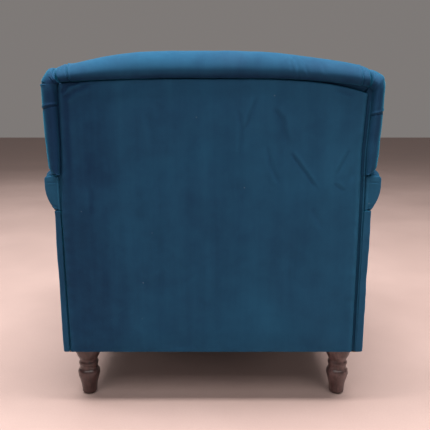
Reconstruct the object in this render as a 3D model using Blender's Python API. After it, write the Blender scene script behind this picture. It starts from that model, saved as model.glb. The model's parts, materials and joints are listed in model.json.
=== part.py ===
"""Upholstered armchair: a hardwood frame with a sprung seat, padded covers and a loose seat cushion.

Metres, +Z up. The chair faces -Y, left and right are the sitter's (left is +X), and the origin is on
the floor under the middle of the chair.
"""

import math

import bmesh
import bpy
from mathutils import Matrix

# Driving dimensions of the whole chair
WIDTH = 0.880  # over the arm rolls
DEPTH = 0.900  # cushion front to the back's top roll
HEIGHT = 0.947
LEG_HEIGHT = 0.150  # floor to the underside of the covers
ARM_HEIGHT = 0.6375
DECK_HEIGHT = 0.329  # top of the platform that the cushion lies on
CUSHION_HEIGHT = 0.500  # top of the cushion's crown
SEAT_WIDTH = 0.600  # between the inside arms

# Clearances
GAP = 0.0005  # between pieces that touch
CUSHION_GAP = 0.0035  # cushion to inside arm

# The outside back leans a little, and the inside back leans more
BACK_BOTTOM_Y = 0.405
BACK_LEAN = 0.0417  # metres of Y for each metre of height
INSIDE_BACK_BOTTOM_Y = 0.170
INSIDE_BACK_BOTTOM_Z = 0.300
INSIDE_BACK_LEAN = 0.224

# Timber frame
BOARD = 0.028
RAIL_BOTTOM = LEG_HEIGHT + 0.002
RAIL_TOP = 0.262
FRAME_OUTER_X = 0.396
FRAME_INNER_X = FRAME_OUTER_X - BOARD
FRONT_BOARD_Y = -0.428  # front face of the front rail and of the arm posts
BACK_RAIL_Y = 0.3635
POST_DEPTH = 0.055
POST_TOP = 0.845
PANEL_THICKNESS = 0.010
POST_REAR = PANEL_THICKNESS + 0.002  # post's rear face, in front of the outside back's outer face
ARM_POST_INNER_X = 0.3235
ARM_POST_OUTER_X = 0.4010
ARM_BOARD_TOP = 0.597
LOWER_RAIL_BOTTOM = 0.300
LOWER_RAIL_TOP = 0.350
BACK_LOWER_RAIL_Y = 0.345

# Seat suspension
SPRING_XS = (-0.21, -0.07, 0.07, 0.21)
SPRING_WIRE = 0.0018  # wire radius
SPRING_LOOPS = 28
SPRING_HALF_WIDTH = 0.018
SPRING_CROWN = 0.022
SPRING_LIFT = 0.0048  # wire's centre above the rail
SPRING_FRONT_Y = FRONT_BOARD_Y + 0.016
SPRING_BACK_Y = BACK_RAIL_Y + 0.014
CLIP_HALF_WIDTH = 0.009

# Arms and outer covers
ROLL_CORNER = 0.028
INNER_CORNER = 0.065
ROLL_TUCK_Z = 0.548
PANEL_OUTER_X = 0.414
PANEL_INNER_X = 0.402
FACING_FRONT_Y = -0.4445
CHEEK_END_Y = 0.408  # rear end of an arm roll

# The back's outline
WING_HALF_WIDTH = 0.431
WING_FOOT_HALF_WIDTH = 0.416
WING_BOTTOM = ARM_HEIGHT + 0.0015
BACK_CORNER = 0.047
BACK_ARCH = 0.038  # how much lower the top is at its corners than in the middle
OUTSIDE_BACK_HALF_WIDTH = 0.3965
OUTSIDE_BACK_TOP = 0.8805
OUTSIDE_BACK_ARCH = 0.0225
OUTSIDE_BACK_CORNER = 0.015
REAR_BULGE = 0.0130  # how far the rolled edge stands behind the outside back
POCKET_DEPTH = 0.071  # room for the posts and webs, in front of the outside back's outer face

# Cushion
CUSHION_FRONT_Y = -0.450
CUSHION_BACK_Y = 0.172
CUSHION_HALF_WIDTH = SEAT_WIDTH / 2 - CUSHION_GAP
CUSHION_BORDER_TOP = 0.487
COVER_THICKNESS = 0.003
ZIP_HALF_LENGTH = 0.250
ZIP_Z = 0.407
ZIP_SLOT_HEIGHT = 0.010
ZIP_SLIDER_WIDTH = 0.009

# Turned leg: (radius, height) in millimetres, from the floor end up
LEG_PROFILE_MM = (
    (19.0, 4.3), (20.5, 8.0), (20.8, 18.0), (23.6, 41.0), (28.0, 54.0), (30.2, 64.0),
    (29.3, 71.0), (25.8, 77.5), (25.6, 82.0), (26.9, 87.5), (26.9, 95.0), (25.0, 104.0),
    (28.0, 110.0), (32.0, 117.5), (36.0, 130.0), (37.0, 148.0),
)
LEG_X = 0.358
LEG_YS = {"front": -0.370, "back": 0.338}
LEG_SOCKET = (0.0048, 0.118)  # radius and floor of the hole for the bolt
GLIDE_RADIUS = 0.014
GLIDE_HEIGHT = 0.004
BOLT_RADIUS = 0.004
NUT_RADIUS = 0.0070
BLOCK_SIDE = 0.090
BLOCK_TOP = 0.200

SIDES = {"left": 1, "right": -1}


# --- Materials -------------------------------------------------------------------------------------


def material(name, colour, roughness, metallic=0.0):
    made = bpy.data.materials.new(name)
    made.use_nodes = True
    shader = made.node_tree.nodes["Principled BSDF"]
    shader.inputs["Base Color"].default_value = (*colour, 1.0)
    shader.inputs["Roughness"].default_value = roughness
    shader.inputs["Metallic"].default_value = metallic
    return made


def make_materials():
    return {
        "velvet": material("velvet", (0.013, 0.060, 0.118), 0.85),
        "dark_wood": material("dark_wood", (0.045, 0.016, 0.013), 0.35),
        "frame_wood": material("frame_wood", (0.55, 0.38, 0.22), 0.65),
        "foam": material("foam", (0.80, 0.76, 0.60), 0.90),
        "lining": material("lining", (0.02, 0.02, 0.022), 0.90),
        "webbing": material("webbing", (0.25, 0.20, 0.13), 0.85),
        "steel": material("steel", (0.45, 0.45, 0.46), 0.35, 1.0),
        "nylon": material("nylon", (0.08, 0.07, 0.06), 0.50),
    }


# --- Shapes ----------------------------------------------------------------------------------------


def clear_scene():
    for old in list(bpy.data.objects):
        bpy.data.objects.remove(old, do_unlink=True)


def add_mesh(name, points, faces, surface, smooth=False):
    """A closed mesh object whose faces point out."""
    mesh = bpy.data.meshes.new(name)
    mesh.from_pydata([tuple(p) for p in points], [], faces)
    shape = bmesh.new()
    shape.from_mesh(mesh)
    bmesh.ops.recalc_face_normals(shape, faces=shape.faces)
    shape.to_mesh(mesh)
    shape.free()
    if smooth:
        mesh.shade_smooth()
        mesh.set_sharp_from_angle(angle=math.radians(35))
    mesh.materials.append(surface)
    made = bpy.data.objects.new(name, mesh)
    bpy.context.scene.collection.objects.link(made)
    return made


def chamfer(shape, width):
    bevel = shape.modifiers.new("chamfer", "BEVEL")
    bevel.width = width
    bevel.segments = 1
    bevel.limit_method = "ANGLE"
    return shape


def loft(name, loops, surface, smooth=False):
    """A solid through closed loops of equally many points, with flat ends."""
    count = len(loops[0])
    points = [p for loop in loops for p in loop]
    faces = []
    for level in range(len(loops) - 1):
        start = level * count
        for i in range(count):
            j = (i + 1) % count
            faces.append((start + i, start + j, start + count + j, start + count + i))
    faces.append(tuple(range(count)))
    faces.append(tuple(range(len(points) - count, len(points))))
    return add_mesh(name, points, faces, surface, smooth)


def box(name, low, high, surface):
    corners = [(low[0], low[1]), (high[0], low[1]), (high[0], high[1]), (low[0], high[1])]
    return loft(name, [[(x, y, z) for x, y in corners] for z in (low[2], high[2])], surface)


def prism_along_x(name, outline_yz, low, high, surface):
    return loft(name, [[(x, y, z) for y, z in outline_yz] for x in (low, high)], surface)


def prism_along_y(name, outline_xz, low, high, surface):
    return loft(name, [[(x, y, z) for x, z in outline_xz] for y in (low, high)], surface)


def prism_along_z(name, outline_xy, low, high, surface):
    return loft(name, [[(x, y, z) for x, y in outline_xy] for z in (low, high)], surface)


def turned(name, profile, place, surface, steps):
    """A solid of revolution about the vertical through place. The profile's ends lie on the axis."""
    rings = [
        [
            (
                place[0] + radius * math.cos(2 * math.pi * i / steps),
                place[1] + radius * math.sin(2 * math.pi * i / steps),
                height,
            )
            for i in range(steps)
        ]
        for radius, height in profile
    ]
    return loft(name, rings, surface, smooth=True)


def wire(name, path, radius, surface):
    curve = bpy.data.curves.new(name, "CURVE")
    curve.dimensions = "3D"
    curve.bevel_depth = radius
    curve.bevel_resolution = 1
    curve.use_fill_caps = True
    spline = curve.splines.new("POLY")
    spline.points.add(len(path) - 1)
    for point, place in zip(spline.points, path):
        point.co = (*place, 1.0)
    curve.materials.append(surface)
    made = bpy.data.objects.new(name, curve)
    bpy.context.scene.collection.objects.link(made)
    return made


def combine(shape, other, operation):
    """Cuts other out of shape, or joins it on. The other shape isn't part of the chair by itself."""
    boolean = shape.modifiers.new(operation.lower(), "BOOLEAN")
    boolean.operation = operation
    boolean.object = other
    other.hide_render = True
    other.display_type = "WIRE"
    return shape


def mount_on_empty(name, place, children):
    """An empty at place that the children are parented to and move with."""
    empty = bpy.data.objects.new(name, None)
    bpy.context.scene.collection.objects.link(empty)
    empty.location = place
    for child in children:
        child.parent = empty
        child.matrix_parent_inverse = Matrix.Translation(place).inverted()
    return empty


def arc(centre, radii, start, end, steps):
    """Points of an ellipse's arc from start to end, in degrees, both ends included."""
    points = []
    for i in range(steps + 1):
        angle = math.radians(start + (end - start) * i / steps)
        points.append((centre[0] + radii[0] * math.cos(angle), centre[1] + radii[1] * math.sin(angle)))
    return points


def inset(outline, amount):
    """The closed outline moved inwards, each corner along the mean of its two sides' normals."""
    moved = []
    count = len(outline)
    area = sum(
        outline[i][0] * outline[(i + 1) % count][1] - outline[(i + 1) % count][0] * outline[i][1]
        for i in range(count)
    )
    turn = math.copysign(1.0, area)
    for i, (a, b) in enumerate(outline):
        before, after = outline[i - 1], outline[(i + 1) % count]
        normal = [0.0, 0.0]
        for p, q in ((before, (a, b)), ((a, b), after)):
            length = math.hypot(q[0] - p[0], q[1] - p[1])
            normal[0] -= turn * (q[1] - p[1]) / length
            normal[1] += turn * (q[0] - p[0]) / length
        share = amount * 2 / (normal[0] ** 2 + normal[1] ** 2)
        moved.append((a + normal[0] * share, b + normal[1] * share))
    return moved


def mirrored(outline, sign):
    return [(sign * a, b) for a, b in outline]


def back_y(z):
    """Outer face of the outside back at height z."""
    return BACK_BOTTOM_Y + (z - LEG_HEIGHT) * BACK_LEAN


def inside_back_y(z):
    """Front face of the inside back at height z."""
    return INSIDE_BACK_BOTTOM_Y + (z - INSIDE_BACK_BOTTOM_Z) * INSIDE_BACK_LEAN


# --- Legs ------------------------------------------------------------------------------------------


def make_leg_set(place_name, x, y, surfaces):
    """A turned leg with the glide under it and the bolt that holds it to its corner block."""
    socket_radius, socket_floor = LEG_SOCKET
    outside = [(r / 1000, z / 1000) for r, z in LEG_PROFILE_MM]
    leg_top = outside[-1][1]
    profile = [(GLIDE_RADIUS, outside[0][1]), *outside, (socket_radius, leg_top), (socket_radius, socket_floor)]
    turned(f"leg_{place_name}", profile, (x, y), surfaces["dark_wood"], 20)
    glide = [(GLIDE_RADIUS, 0.0), (GLIDE_RADIUS, GLIDE_HEIGHT)]
    turned(f"glide_{place_name}", glide, (x, y), surfaces["nylon"], 16)
    nut_bottom = BLOCK_TOP + GAP
    nut_top = nut_bottom + 0.006
    bolt = [
        (BOLT_RADIUS, socket_floor + 0.004),
        (BOLT_RADIUS, nut_bottom),
        (NUT_RADIUS, nut_bottom),
        (NUT_RADIUS, nut_top),
        (BOLT_RADIUS, nut_top),
        (BOLT_RADIUS, nut_top + 0.003),
    ]
    turned(f"leg_bolt_{place_name}", bolt, (x, y), surfaces["steel"], 12)


def make_corner_block(place_name, x_sign, y_sign, corner_y, leg_y, surfaces):
    """A glued triangular block in the corner of the rails, bored for the leg's bolt."""
    corner_x = FRAME_INNER_X - GAP
    outline = [
        (x_sign * corner_x, corner_y),
        (x_sign * (corner_x - BLOCK_SIDE), corner_y),
        (x_sign * corner_x, corner_y - y_sign * BLOCK_SIDE),
    ]
    block = prism_along_z(f"corner_block_{place_name}", outline, RAIL_BOTTOM, BLOCK_TOP, surfaces["frame_wood"])
    bore = [(LEG_SOCKET[0], RAIL_BOTTOM - 0.01), (LEG_SOCKET[0], BLOCK_TOP + 0.01)]
    combine(block, turned(f"bore_{place_name}", bore, (x_sign * LEG_X, leg_y), surfaces["frame_wood"], 12), "DIFFERENCE")


def make_feet(surfaces):
    corner_ys = {"front": FRONT_BOARD_Y + BOARD + GAP, "back": BACK_RAIL_Y - GAP}
    for end, leg_y in LEG_YS.items():
        for side, sign in SIDES.items():
            place_name = f"{end}_{side}"
            make_leg_set(place_name, sign * LEG_X, leg_y, surfaces)
            y_sign = 1 if end == "back" else -1
            make_corner_block(place_name, sign, y_sign, corner_ys[end], leg_y, surfaces)


# --- Timber frame ----------------------------------------------------------------------------------


def make_base_rails(surfaces):
    wood = surfaces["frame_wood"]
    front_half = ARM_POST_INNER_X - GAP
    chamfer(box("front_rail", (-front_half, FRONT_BOARD_Y, RAIL_BOTTOM),
                (front_half, FRONT_BOARD_Y + BOARD, RAIL_TOP), wood), 0.002)
    back_half = FRAME_INNER_X - GAP
    chamfer(box("back_rail", (-back_half, BACK_RAIL_Y, RAIL_BOTTOM),
                (back_half, BACK_RAIL_Y + BOARD, RAIL_TOP), wood), 0.002)
    rail_start = FRONT_BOARD_Y + BOARD + GAP
    rail_end = back_y(RAIL_BOTTOM) - POST_REAR - POST_DEPTH - GAP
    for side, sign in SIDES.items():
        inner, outer = sorted((sign * FRAME_INNER_X, sign * FRAME_OUTER_X))
        chamfer(box(f"side_rail_{side}", (inner, rail_start, RAIL_BOTTOM), (outer, rail_end, RAIL_TOP), wood), 0.002)


def leaning_outline(z_low, z_high, rear, depth):
    """A (y, z) outline that leans with the outside back, its rear face set in by rear."""
    return [
        (back_y(z_low) - rear - depth, z_low),
        (back_y(z_low) - rear, z_low),
        (back_y(z_high) - rear, z_high),
        (back_y(z_high) - rear - depth, z_high),
    ]


def make_back_frame(surfaces):
    wood = surfaces["frame_wood"]
    post = leaning_outline(RAIL_BOTTOM, POST_TOP, POST_REAR, POST_DEPTH)
    for side, sign in SIDES.items():
        inner, outer = sorted((sign * FRAME_INNER_X, sign * FRAME_OUTER_X))
        chamfer(prism_along_x(f"back_post_{side}", post, inner, outer, wood), 0.002)
    half = FRAME_INNER_X - GAP
    crest_bottom, crest_end, crest_middle = 0.790, POST_TOP, 0.866
    crest_y = back_y(crest_bottom) - POST_REAR - BOARD
    steps = 8
    arch = []
    for i in range(steps + 1):
        x = half - 2 * half * i / steps
        arch.append((x, crest_middle - (crest_middle - crest_end) * (x / half) ** 2))
    outline = [(-half, crest_bottom), (half, crest_bottom), *arch]
    prism_along_y("crest_rail", outline, crest_y, crest_y + BOARD, wood)
    chamfer(box("back_lower_rail", (-half, BACK_LOWER_RAIL_Y, LOWER_RAIL_BOTTOM),
                (half, BACK_LOWER_RAIL_Y + BOARD, LOWER_RAIL_TOP), wood), 0.002)


def make_arm_frames(surfaces):
    wood = surfaces["frame_wood"]
    rail_start = FRONT_BOARD_Y + BOARD + GAP
    top_rail_bottom = ARM_BOARD_TOP - 0.022
    top_rail_end = back_y(top_rail_bottom) - POST_REAR - POST_DEPTH - GAP
    lower_rail_width = 0.025
    for side, sign in SIDES.items():
        xs = sorted((sign * ARM_POST_INNER_X, sign * ARM_POST_OUTER_X))
        chamfer(box(f"arm_post_{side}", (xs[0], FRONT_BOARD_Y, RAIL_BOTTOM),
                    (xs[1], FRONT_BOARD_Y + BOARD, ARM_BOARD_TOP), wood), 0.003)
        chamfer(box(f"arm_top_rail_{side}", (xs[0], rail_start, top_rail_bottom),
                    (xs[1], top_rail_end, ARM_BOARD_TOP), wood), 0.003)
        lower = sorted((sign * ARM_POST_INNER_X, sign * (ARM_POST_INNER_X + lower_rail_width)))
        chamfer(box(f"arm_lower_rail_{side}", (lower[0], rail_start, LOWER_RAIL_BOTTOM),
                    (lower[1], BACK_LOWER_RAIL_Y - GAP, LOWER_RAIL_TOP), wood), 0.002)


# --- Springs and webbing ---------------------------------------------------------------------------


def spring_path(x):
    """A sinuous spring: legs across the seat joined by bends, arched between its two clips."""
    pitch = (SPRING_BACK_Y - SPRING_FRONT_Y) / SPRING_LOOPS
    middle = (SPRING_FRONT_Y + SPRING_BACK_Y) / 2
    half = (SPRING_BACK_Y - SPRING_FRONT_Y) / 2

    def at(dx, y):
        rise = SPRING_CROWN * (1 - ((y - middle) / half) ** 2)
        return (x + dx, y, RAIL_TOP + SPRING_LIFT + rise)

    points = []
    for leg in range(SPRING_LOOPS + 1):
        y = SPRING_FRONT_Y + leg * pitch
        way = 1 if leg % 2 == 0 else -1
        points.append(at(-way * SPRING_HALF_WIDTH, y))
        points.append(at(way * SPRING_HALF_WIDTH, y))
        if leg < SPRING_LOOPS:
            points.append(at(way * (SPRING_HALF_WIDTH + pitch / 2), y + pitch / 2))
    return points


def clip_outline(y, way):
    """A bent strip clip, open towards the seat's middle: a foot on the rail and a curl over the wire."""
    foot, back, inner = 0.014, 0.008, 0.006
    bottom, strip, top, under = GAP, 0.0018, 0.0090, 0.0075
    shape = [
        (-foot, bottom), (back, bottom), (back, top), (-inner, top),
        (-inner, under), (inner, under), (inner, strip), (-foot, strip),
    ]
    return [(y + way * u, RAIL_TOP + v) for u, v in shape]


def make_seat_springs(surfaces):
    steel = surfaces["steel"]
    for number, x in enumerate(SPRING_XS, start=1):
        wire(f"seat_spring_{number}", spring_path(x), SPRING_WIRE, steel)
        for end, y, way in (("front", SPRING_FRONT_Y, -1), ("back", SPRING_BACK_Y, 1)):
            prism_along_x(f"spring_clip_{end}_{number}", clip_outline(y, way),
                          x - CLIP_HALF_WIDTH, x + CLIP_HALF_WIDTH, steel)


def make_back_webs(surfaces):
    """Elastic webs across the back posts, behind the inside back."""
    thickness, height, clear = 0.0015, 0.050, 0.0005
    half = FRAME_OUTER_X - 0.001
    rear = POST_REAR + POST_DEPTH + clear
    for name, middle in (("lower", 0.420), ("middle", 0.530), ("upper", 0.690)):
        outline = leaning_outline(middle - height / 2, middle + height / 2, rear, thickness)
        prism_along_x(f"back_web_{name}", outline, -half, half, surfaces["webbing"])


def make_seat_platform(surfaces):
    half = SEAT_WIDTH / 2 - 0.0015
    insulator_bottom, insulator_top = 0.2925, 0.2955
    box("spring_insulator", (-half, FRONT_BOARD_Y + 0.001, insulator_bottom),
        (half, 0.330, insulator_top), surfaces["webbing"])
    deck_front = FRONT_BOARD_Y - 0.013
    chamfer(box("deck_pad", (-half, deck_front, insulator_top + 0.0015),
                (half, INSIDE_BACK_BOTTOM_Y - 0.005, DECK_HEIGHT), surfaces["lining"]), 0.006)
    chamfer(box("front_border", (-half, deck_front, LEG_HEIGHT),
                (half, FRONT_BOARD_Y - GAP, insulator_top + 0.001), surfaces["velvet"]), 0.003)


# --- Arms ------------------------------------------------------------------------------------------


def arm_outline():
    """The arm's outer (x, z) outline, from its inner foot over the roll to the tuck on the outside."""
    half_width = WIDTH / 2
    inner_x = SEAT_WIDTH / 2
    shoulder = ARM_HEIGHT - INNER_CORNER
    roll_z = ARM_HEIGHT - ROLL_CORNER
    return [
        *arc((inner_x + INNER_CORNER, shoulder), (INNER_CORNER, INNER_CORNER), 180, 90, 7),
        *arc((half_width - ROLL_CORNER, roll_z), (ROLL_CORNER, ROLL_CORNER), 90, 0, 5),
        *arc((PANEL_OUTER_X, roll_z), (half_width - PANEL_OUTER_X, roll_z - ROLL_TUCK_Z), 0, -90, 6)[1:],
    ]


def make_arm_covers(surfaces):
    velvet = surfaces["velvet"]
    inner_x = SEAT_WIDTH / 2
    hollow_inner, hollow_outer = ARM_POST_INNER_X - 0.001, 0.404
    foot = LOWER_RAIL_BOTTOM
    pad_outline = [
        (inner_x, foot),
        *arm_outline(),
        (hollow_inner, ROLL_TUCK_Z),
        (hollow_inner, foot),
    ]
    facing_outline = inset([(inner_x, LEG_HEIGHT), *arm_outline(), (PANEL_OUTER_X, LEG_HEIGHT)], 0.001)
    side_outline = [
        (FRONT_BOARD_Y, LEG_HEIGHT),
        (back_y(LEG_HEIGHT) - 0.001, LEG_HEIGHT),
        (back_y(ROLL_TUCK_Z) - 0.001, ROLL_TUCK_Z - GAP),
        (FRONT_BOARD_Y, ROLL_TUCK_Z - GAP),
    ]
    hollow_end_y = CHEEK_END_Y - 0.010
    notch_y = 0.337  # behind this the roll passes outside the back post
    for side, sign in SIDES.items():
        pad = prism_along_y(f"inside_arm_pad_{side}", mirrored(pad_outline, sign), FRONT_BOARD_Y, CHEEK_END_Y, velvet)
        hollow = sorted((sign * (hollow_inner - 0.0001), sign * hollow_outer))
        notch = sorted((sign * 0.20, sign * (OUTSIDE_BACK_HALF_WIDTH + 0.001)))
        cutters = (
            box(f"arm_hollow_{side}", (hollow[0], FRONT_BOARD_Y - 0.01, ROLL_TUCK_Z - 0.02),
                (hollow[1], hollow_end_y, ARM_BOARD_TOP + 0.001), velvet),
            box(f"arm_notch_{side}", (notch[0], notch_y, 0.20), (notch[1], 0.50, 0.75), velvet),
        )
        for cutter in cutters:
            combine(pad, cutter, "DIFFERENCE")
        prism_along_y(f"arm_facing_{side}", mirrored(facing_outline, sign),
                      FACING_FRONT_Y, FRONT_BOARD_Y - GAP, velvet)
        xs = sorted((sign * PANEL_INNER_X, sign * PANEL_OUTER_X))
        chamfer(prism_along_x(f"outside_arm_panel_{side}", side_outline, xs[0], xs[1], velvet), 0.002)


# --- Back ------------------------------------------------------------------------------------------


def inside_back_outline():
    """The back's (x, z) outline: narrow between the arms, wide above them, with an arched top."""
    between = SEAT_WIDTH / 2 - 0.0015
    shoulder = (SEAT_WIDTH / 2 + INNER_CORNER, ARM_HEIGHT - INNER_CORNER)
    over_arm = INNER_CORNER + WING_BOTTOM - ARM_HEIGHT
    corner_x = WING_HALF_WIDTH - BACK_CORNER
    corner_z = HEIGHT - BACK_ARCH - BACK_CORNER
    right_half = [(between, INSIDE_BACK_BOTTOM_Z)]
    right_half += arc(shoulder, (over_arm, over_arm), 180, 90, 4)
    right_half += [(WING_FOOT_HALF_WIDTH, WING_BOTTOM), (0.426, 0.740)]
    right_half += arc((corner_x, corner_z), (BACK_CORNER, BACK_CORNER), 0, 90, 5)
    steps = 5
    for i in range(1, steps):
        x = corner_x * (1 - i / steps)
        right_half.append((x, HEIGHT - BACK_ARCH * (x / corner_x) ** 3))
    return [*right_half, (0.0, HEIGHT), *[(-x, z) for x, z in reversed(right_half)]]


def outside_back_outline():
    """The (x, z) outline of the outside back, from the floor end up to its arched top seam."""
    corner_x = OUTSIDE_BACK_HALF_WIDTH - OUTSIDE_BACK_CORNER
    corner_z = OUTSIDE_BACK_TOP - OUTSIDE_BACK_ARCH - OUTSIDE_BACK_CORNER
    right_half = [(OUTSIDE_BACK_HALF_WIDTH, LEG_HEIGHT)]
    right_half += arc((corner_x, corner_z), (OUTSIDE_BACK_CORNER, OUTSIDE_BACK_CORNER), 0, 90, 3)
    steps = 5
    for i in range(1, steps):
        x = corner_x * (1 - i / steps)
        right_half.append((x, OUTSIDE_BACK_TOP - OUTSIDE_BACK_ARCH * (x / corner_x) ** 2))
    return [*right_half, (0.0, OUTSIDE_BACK_TOP), *[(-x, z) for x, z in reversed(right_half)]]


def leaning_loop(outline, lean, offset):
    """The (x, z) outline laid on one of the back's two leaning faces, or offset behind it."""
    return [(x, lean(z) + offset, z) for x, z in outline]


def quarter_round(width, depth, steps):
    """Pairs of inset and depth round a padded edge, from the flat face out to the side."""
    return [(width - a, depth - b) for a, b in arc((0.0, 0.0), (width, depth), 90, 0, steps)]


def make_inside_back(surfaces):
    """The pad over the back's front, top and sides. Its rolled edge ends behind, round a pocket for the frame."""
    velvet = surfaces["velvet"]
    outline = inside_back_outline()
    front = [leaning_loop(inset(outline, i), inside_back_y, d) for i, d in quarter_round(0.045, 0.050, 4)]
    rear = [leaning_loop(inset(outline, i), back_y, REAR_BULGE - d) for i, d in quarter_round(0.024, 0.045, 4)]
    pad = loft("inside_back_pad", [*front, *reversed(rear)], velvet)
    opening = inset(outside_back_outline(), -0.001)
    opening[0] = (opening[0][0], 0.25)
    opening[-1] = (opening[-1][0], 0.25)
    pocket = [leaning_loop(opening, back_y, -POCKET_DEPTH), leaning_loop(opening, back_y, 0.05)]
    combine(pad, loft("pocket", pocket, velvet), "DIFFERENCE")


def make_outside_back(surfaces):
    outline = outside_back_outline()
    loops = [leaning_loop(outline, back_y, -PANEL_THICKNESS), leaning_loop(outline, back_y, 0.0)]
    loft("outside_back_panel", loops, surfaces["velvet"])


def make_dust_cover(surfaces):
    """The black cloth under the seat, bored for the four leg bolts."""
    top, thickness = LEG_HEIGHT - 0.0004, 0.0012
    front, back = FRONT_BOARD_Y + 0.001, BACK_BOTTOM_Y - 0.011
    cover = box("dust_cover", (-FRAME_OUTER_X, front, top - thickness), (FRAME_OUTER_X, back, top), surfaces["lining"])
    hole = [(0.0055, top - 0.01), (0.0055, top + 0.01)]
    for end, leg_y in LEG_YS.items():
        for side, sign in SIDES.items():
            cutter = turned(f"cover_hole_{end}_{side}", hole, (sign * LEG_X, leg_y), surfaces["lining"], 10)
            combine(cover, cutter, "DIFFERENCE")


# --- Cushion ---------------------------------------------------------------------------------------


def rounded_rectangle(half_x, low_y, high_y, radius, steps=3):
    corners = (
        (half_x - radius, low_y + radius, -90),
        (half_x - radius, high_y - radius, 0),
        (-half_x + radius, high_y - radius, 90),
        (-half_x + radius, low_y + radius, 180),
    )
    points = []
    for x, y, start in corners:
        points += arc((x, y), (radius, radius), start, start + 90, steps)
    return points


def cushion_form(name, shrink, surface):
    """A boxed cushion with a crowned top, its surface moved in by shrink."""
    levels = (
        (0.016, DECK_HEIGHT + GAP), (0.004, DECK_HEIGHT + 0.006), (0.0, DECK_HEIGHT + 0.020),
        (0.0, CUSHION_BORDER_TOP - 0.024), (0.004, CUSHION_BORDER_TOP - 0.009), (0.016, CUSHION_BORDER_TOP),
        (0.110, CUSHION_HEIGHT - 0.003), (0.200, CUSHION_HEIGHT),
    )
    low, high = levels[0][1] + shrink, levels[-1][1] - shrink
    loops = []
    for setback, z in levels:
        by = setback + shrink
        radius = max(0.045 - by, 0.012)
        outline = rounded_rectangle(CUSHION_HALF_WIDTH - by, CUSHION_FRONT_Y + by, CUSHION_BACK_Y - by, radius)
        inner_z = low + (z - levels[0][1]) * (high - low) / (levels[-1][1] - levels[0][1])
        loops.append([(x, y, inner_z) for x, y in outline])
    return loft(name, loops, surface)


def make_cushion(surfaces):
    """A foam core in a sewn cover. The cover is open along its zip, and the cushion lifts straight up."""
    velvet = surfaces["velvet"]
    cover = cushion_form("cushion_cover", 0.0, velvet)
    combine(cover, cushion_form("cover_inside", COVER_THICKNESS, velvet), "DIFFERENCE")
    low_z, high_z = ZIP_Z - ZIP_SLOT_HEIGHT / 2, ZIP_Z + ZIP_SLOT_HEIGHT / 2
    slot = box("zip_slot", (-ZIP_HALF_LENGTH, CUSHION_BACK_Y - 0.008, low_z),
               (ZIP_HALF_LENGTH, CUSHION_BACK_Y + 0.01, high_z), velvet)
    combine(cover, slot, "DIFFERENCE")
    core = cushion_form("cushion_core", COVER_THICKNESS + 0.0006, surfaces["foam"])
    lift = mount_on_empty("cushion_lift", (0.0, (CUSHION_FRONT_Y + CUSHION_BACK_Y) / 2, DECK_HEIGHT), (cover, core))
    slider, run_start = make_zip_slider(surfaces)
    slide = mount_on_empty("zip_run", run_start, (slider,))
    slide.parent = lift
    slide.matrix_parent_inverse = Matrix.Translation(lift.location).inverted()


def make_zip_slider(surfaces):
    """The slider with its hanging pull tab, and the place on the zip's line where it parks."""
    end_x = ZIP_HALF_LENGTH - 0.004
    low_x, high_x = end_x - ZIP_SLIDER_WIDTH, end_x
    half_height = ZIP_SLOT_HEIGHT / 2 - 0.0006
    rear = CUSHION_BACK_Y + 0.0022
    slider = box("zip_slider", (low_x, CUSHION_BACK_Y - 0.0024, ZIP_Z - half_height),
                 (high_x, rear, ZIP_Z + half_height), surfaces["steel"])
    middle = (low_x + high_x) / 2
    tab = box("pull_tab", (middle - 0.0022, rear - 0.0010, ZIP_Z - 0.026),
              (middle + 0.0022, rear + 0.0006, ZIP_Z + half_height - 0.001), surfaces["steel"])
    combine(slider, tab, "UNION")
    return slider, (middle, CUSHION_BACK_Y, ZIP_Z)


def main():
    clear_scene()
    surfaces = make_materials()
    make_feet(surfaces)
    make_base_rails(surfaces)
    make_back_frame(surfaces)
    make_arm_frames(surfaces)
    make_seat_springs(surfaces)
    make_back_webs(surfaces)
    make_seat_platform(surfaces)
    make_arm_covers(surfaces)
    make_inside_back(surfaces)
    make_outside_back(surfaces)
    make_dust_cover(surfaces)
    make_cushion(surfaces)


main()
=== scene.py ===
"""The armchair's looks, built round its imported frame. Metres, +Z up, the chair faces -Y, +X is its left."""

import json
import math

import bmesh
import bpy
import numpy as np
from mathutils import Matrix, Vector
from mathutils.bvhtree import BVHTree
from mathutils.kdtree import KDTree


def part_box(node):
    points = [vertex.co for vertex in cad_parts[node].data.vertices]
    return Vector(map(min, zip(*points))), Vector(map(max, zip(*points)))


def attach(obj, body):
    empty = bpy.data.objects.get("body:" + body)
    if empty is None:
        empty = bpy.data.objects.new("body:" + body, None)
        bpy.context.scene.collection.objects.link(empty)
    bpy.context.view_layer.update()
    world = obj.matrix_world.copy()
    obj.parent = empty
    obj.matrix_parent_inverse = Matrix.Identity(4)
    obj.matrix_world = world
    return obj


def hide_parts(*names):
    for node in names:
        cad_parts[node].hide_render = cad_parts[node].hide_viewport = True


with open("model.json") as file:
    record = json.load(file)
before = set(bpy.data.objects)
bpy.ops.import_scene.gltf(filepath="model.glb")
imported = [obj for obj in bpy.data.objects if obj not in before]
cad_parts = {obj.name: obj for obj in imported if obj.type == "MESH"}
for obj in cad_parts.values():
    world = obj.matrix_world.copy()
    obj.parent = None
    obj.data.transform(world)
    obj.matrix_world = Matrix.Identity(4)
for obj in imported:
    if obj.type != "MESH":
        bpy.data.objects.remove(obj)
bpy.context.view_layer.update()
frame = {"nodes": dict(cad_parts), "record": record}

# --- Dimensions that the covers share with the solids under them -----------------------------------

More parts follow.
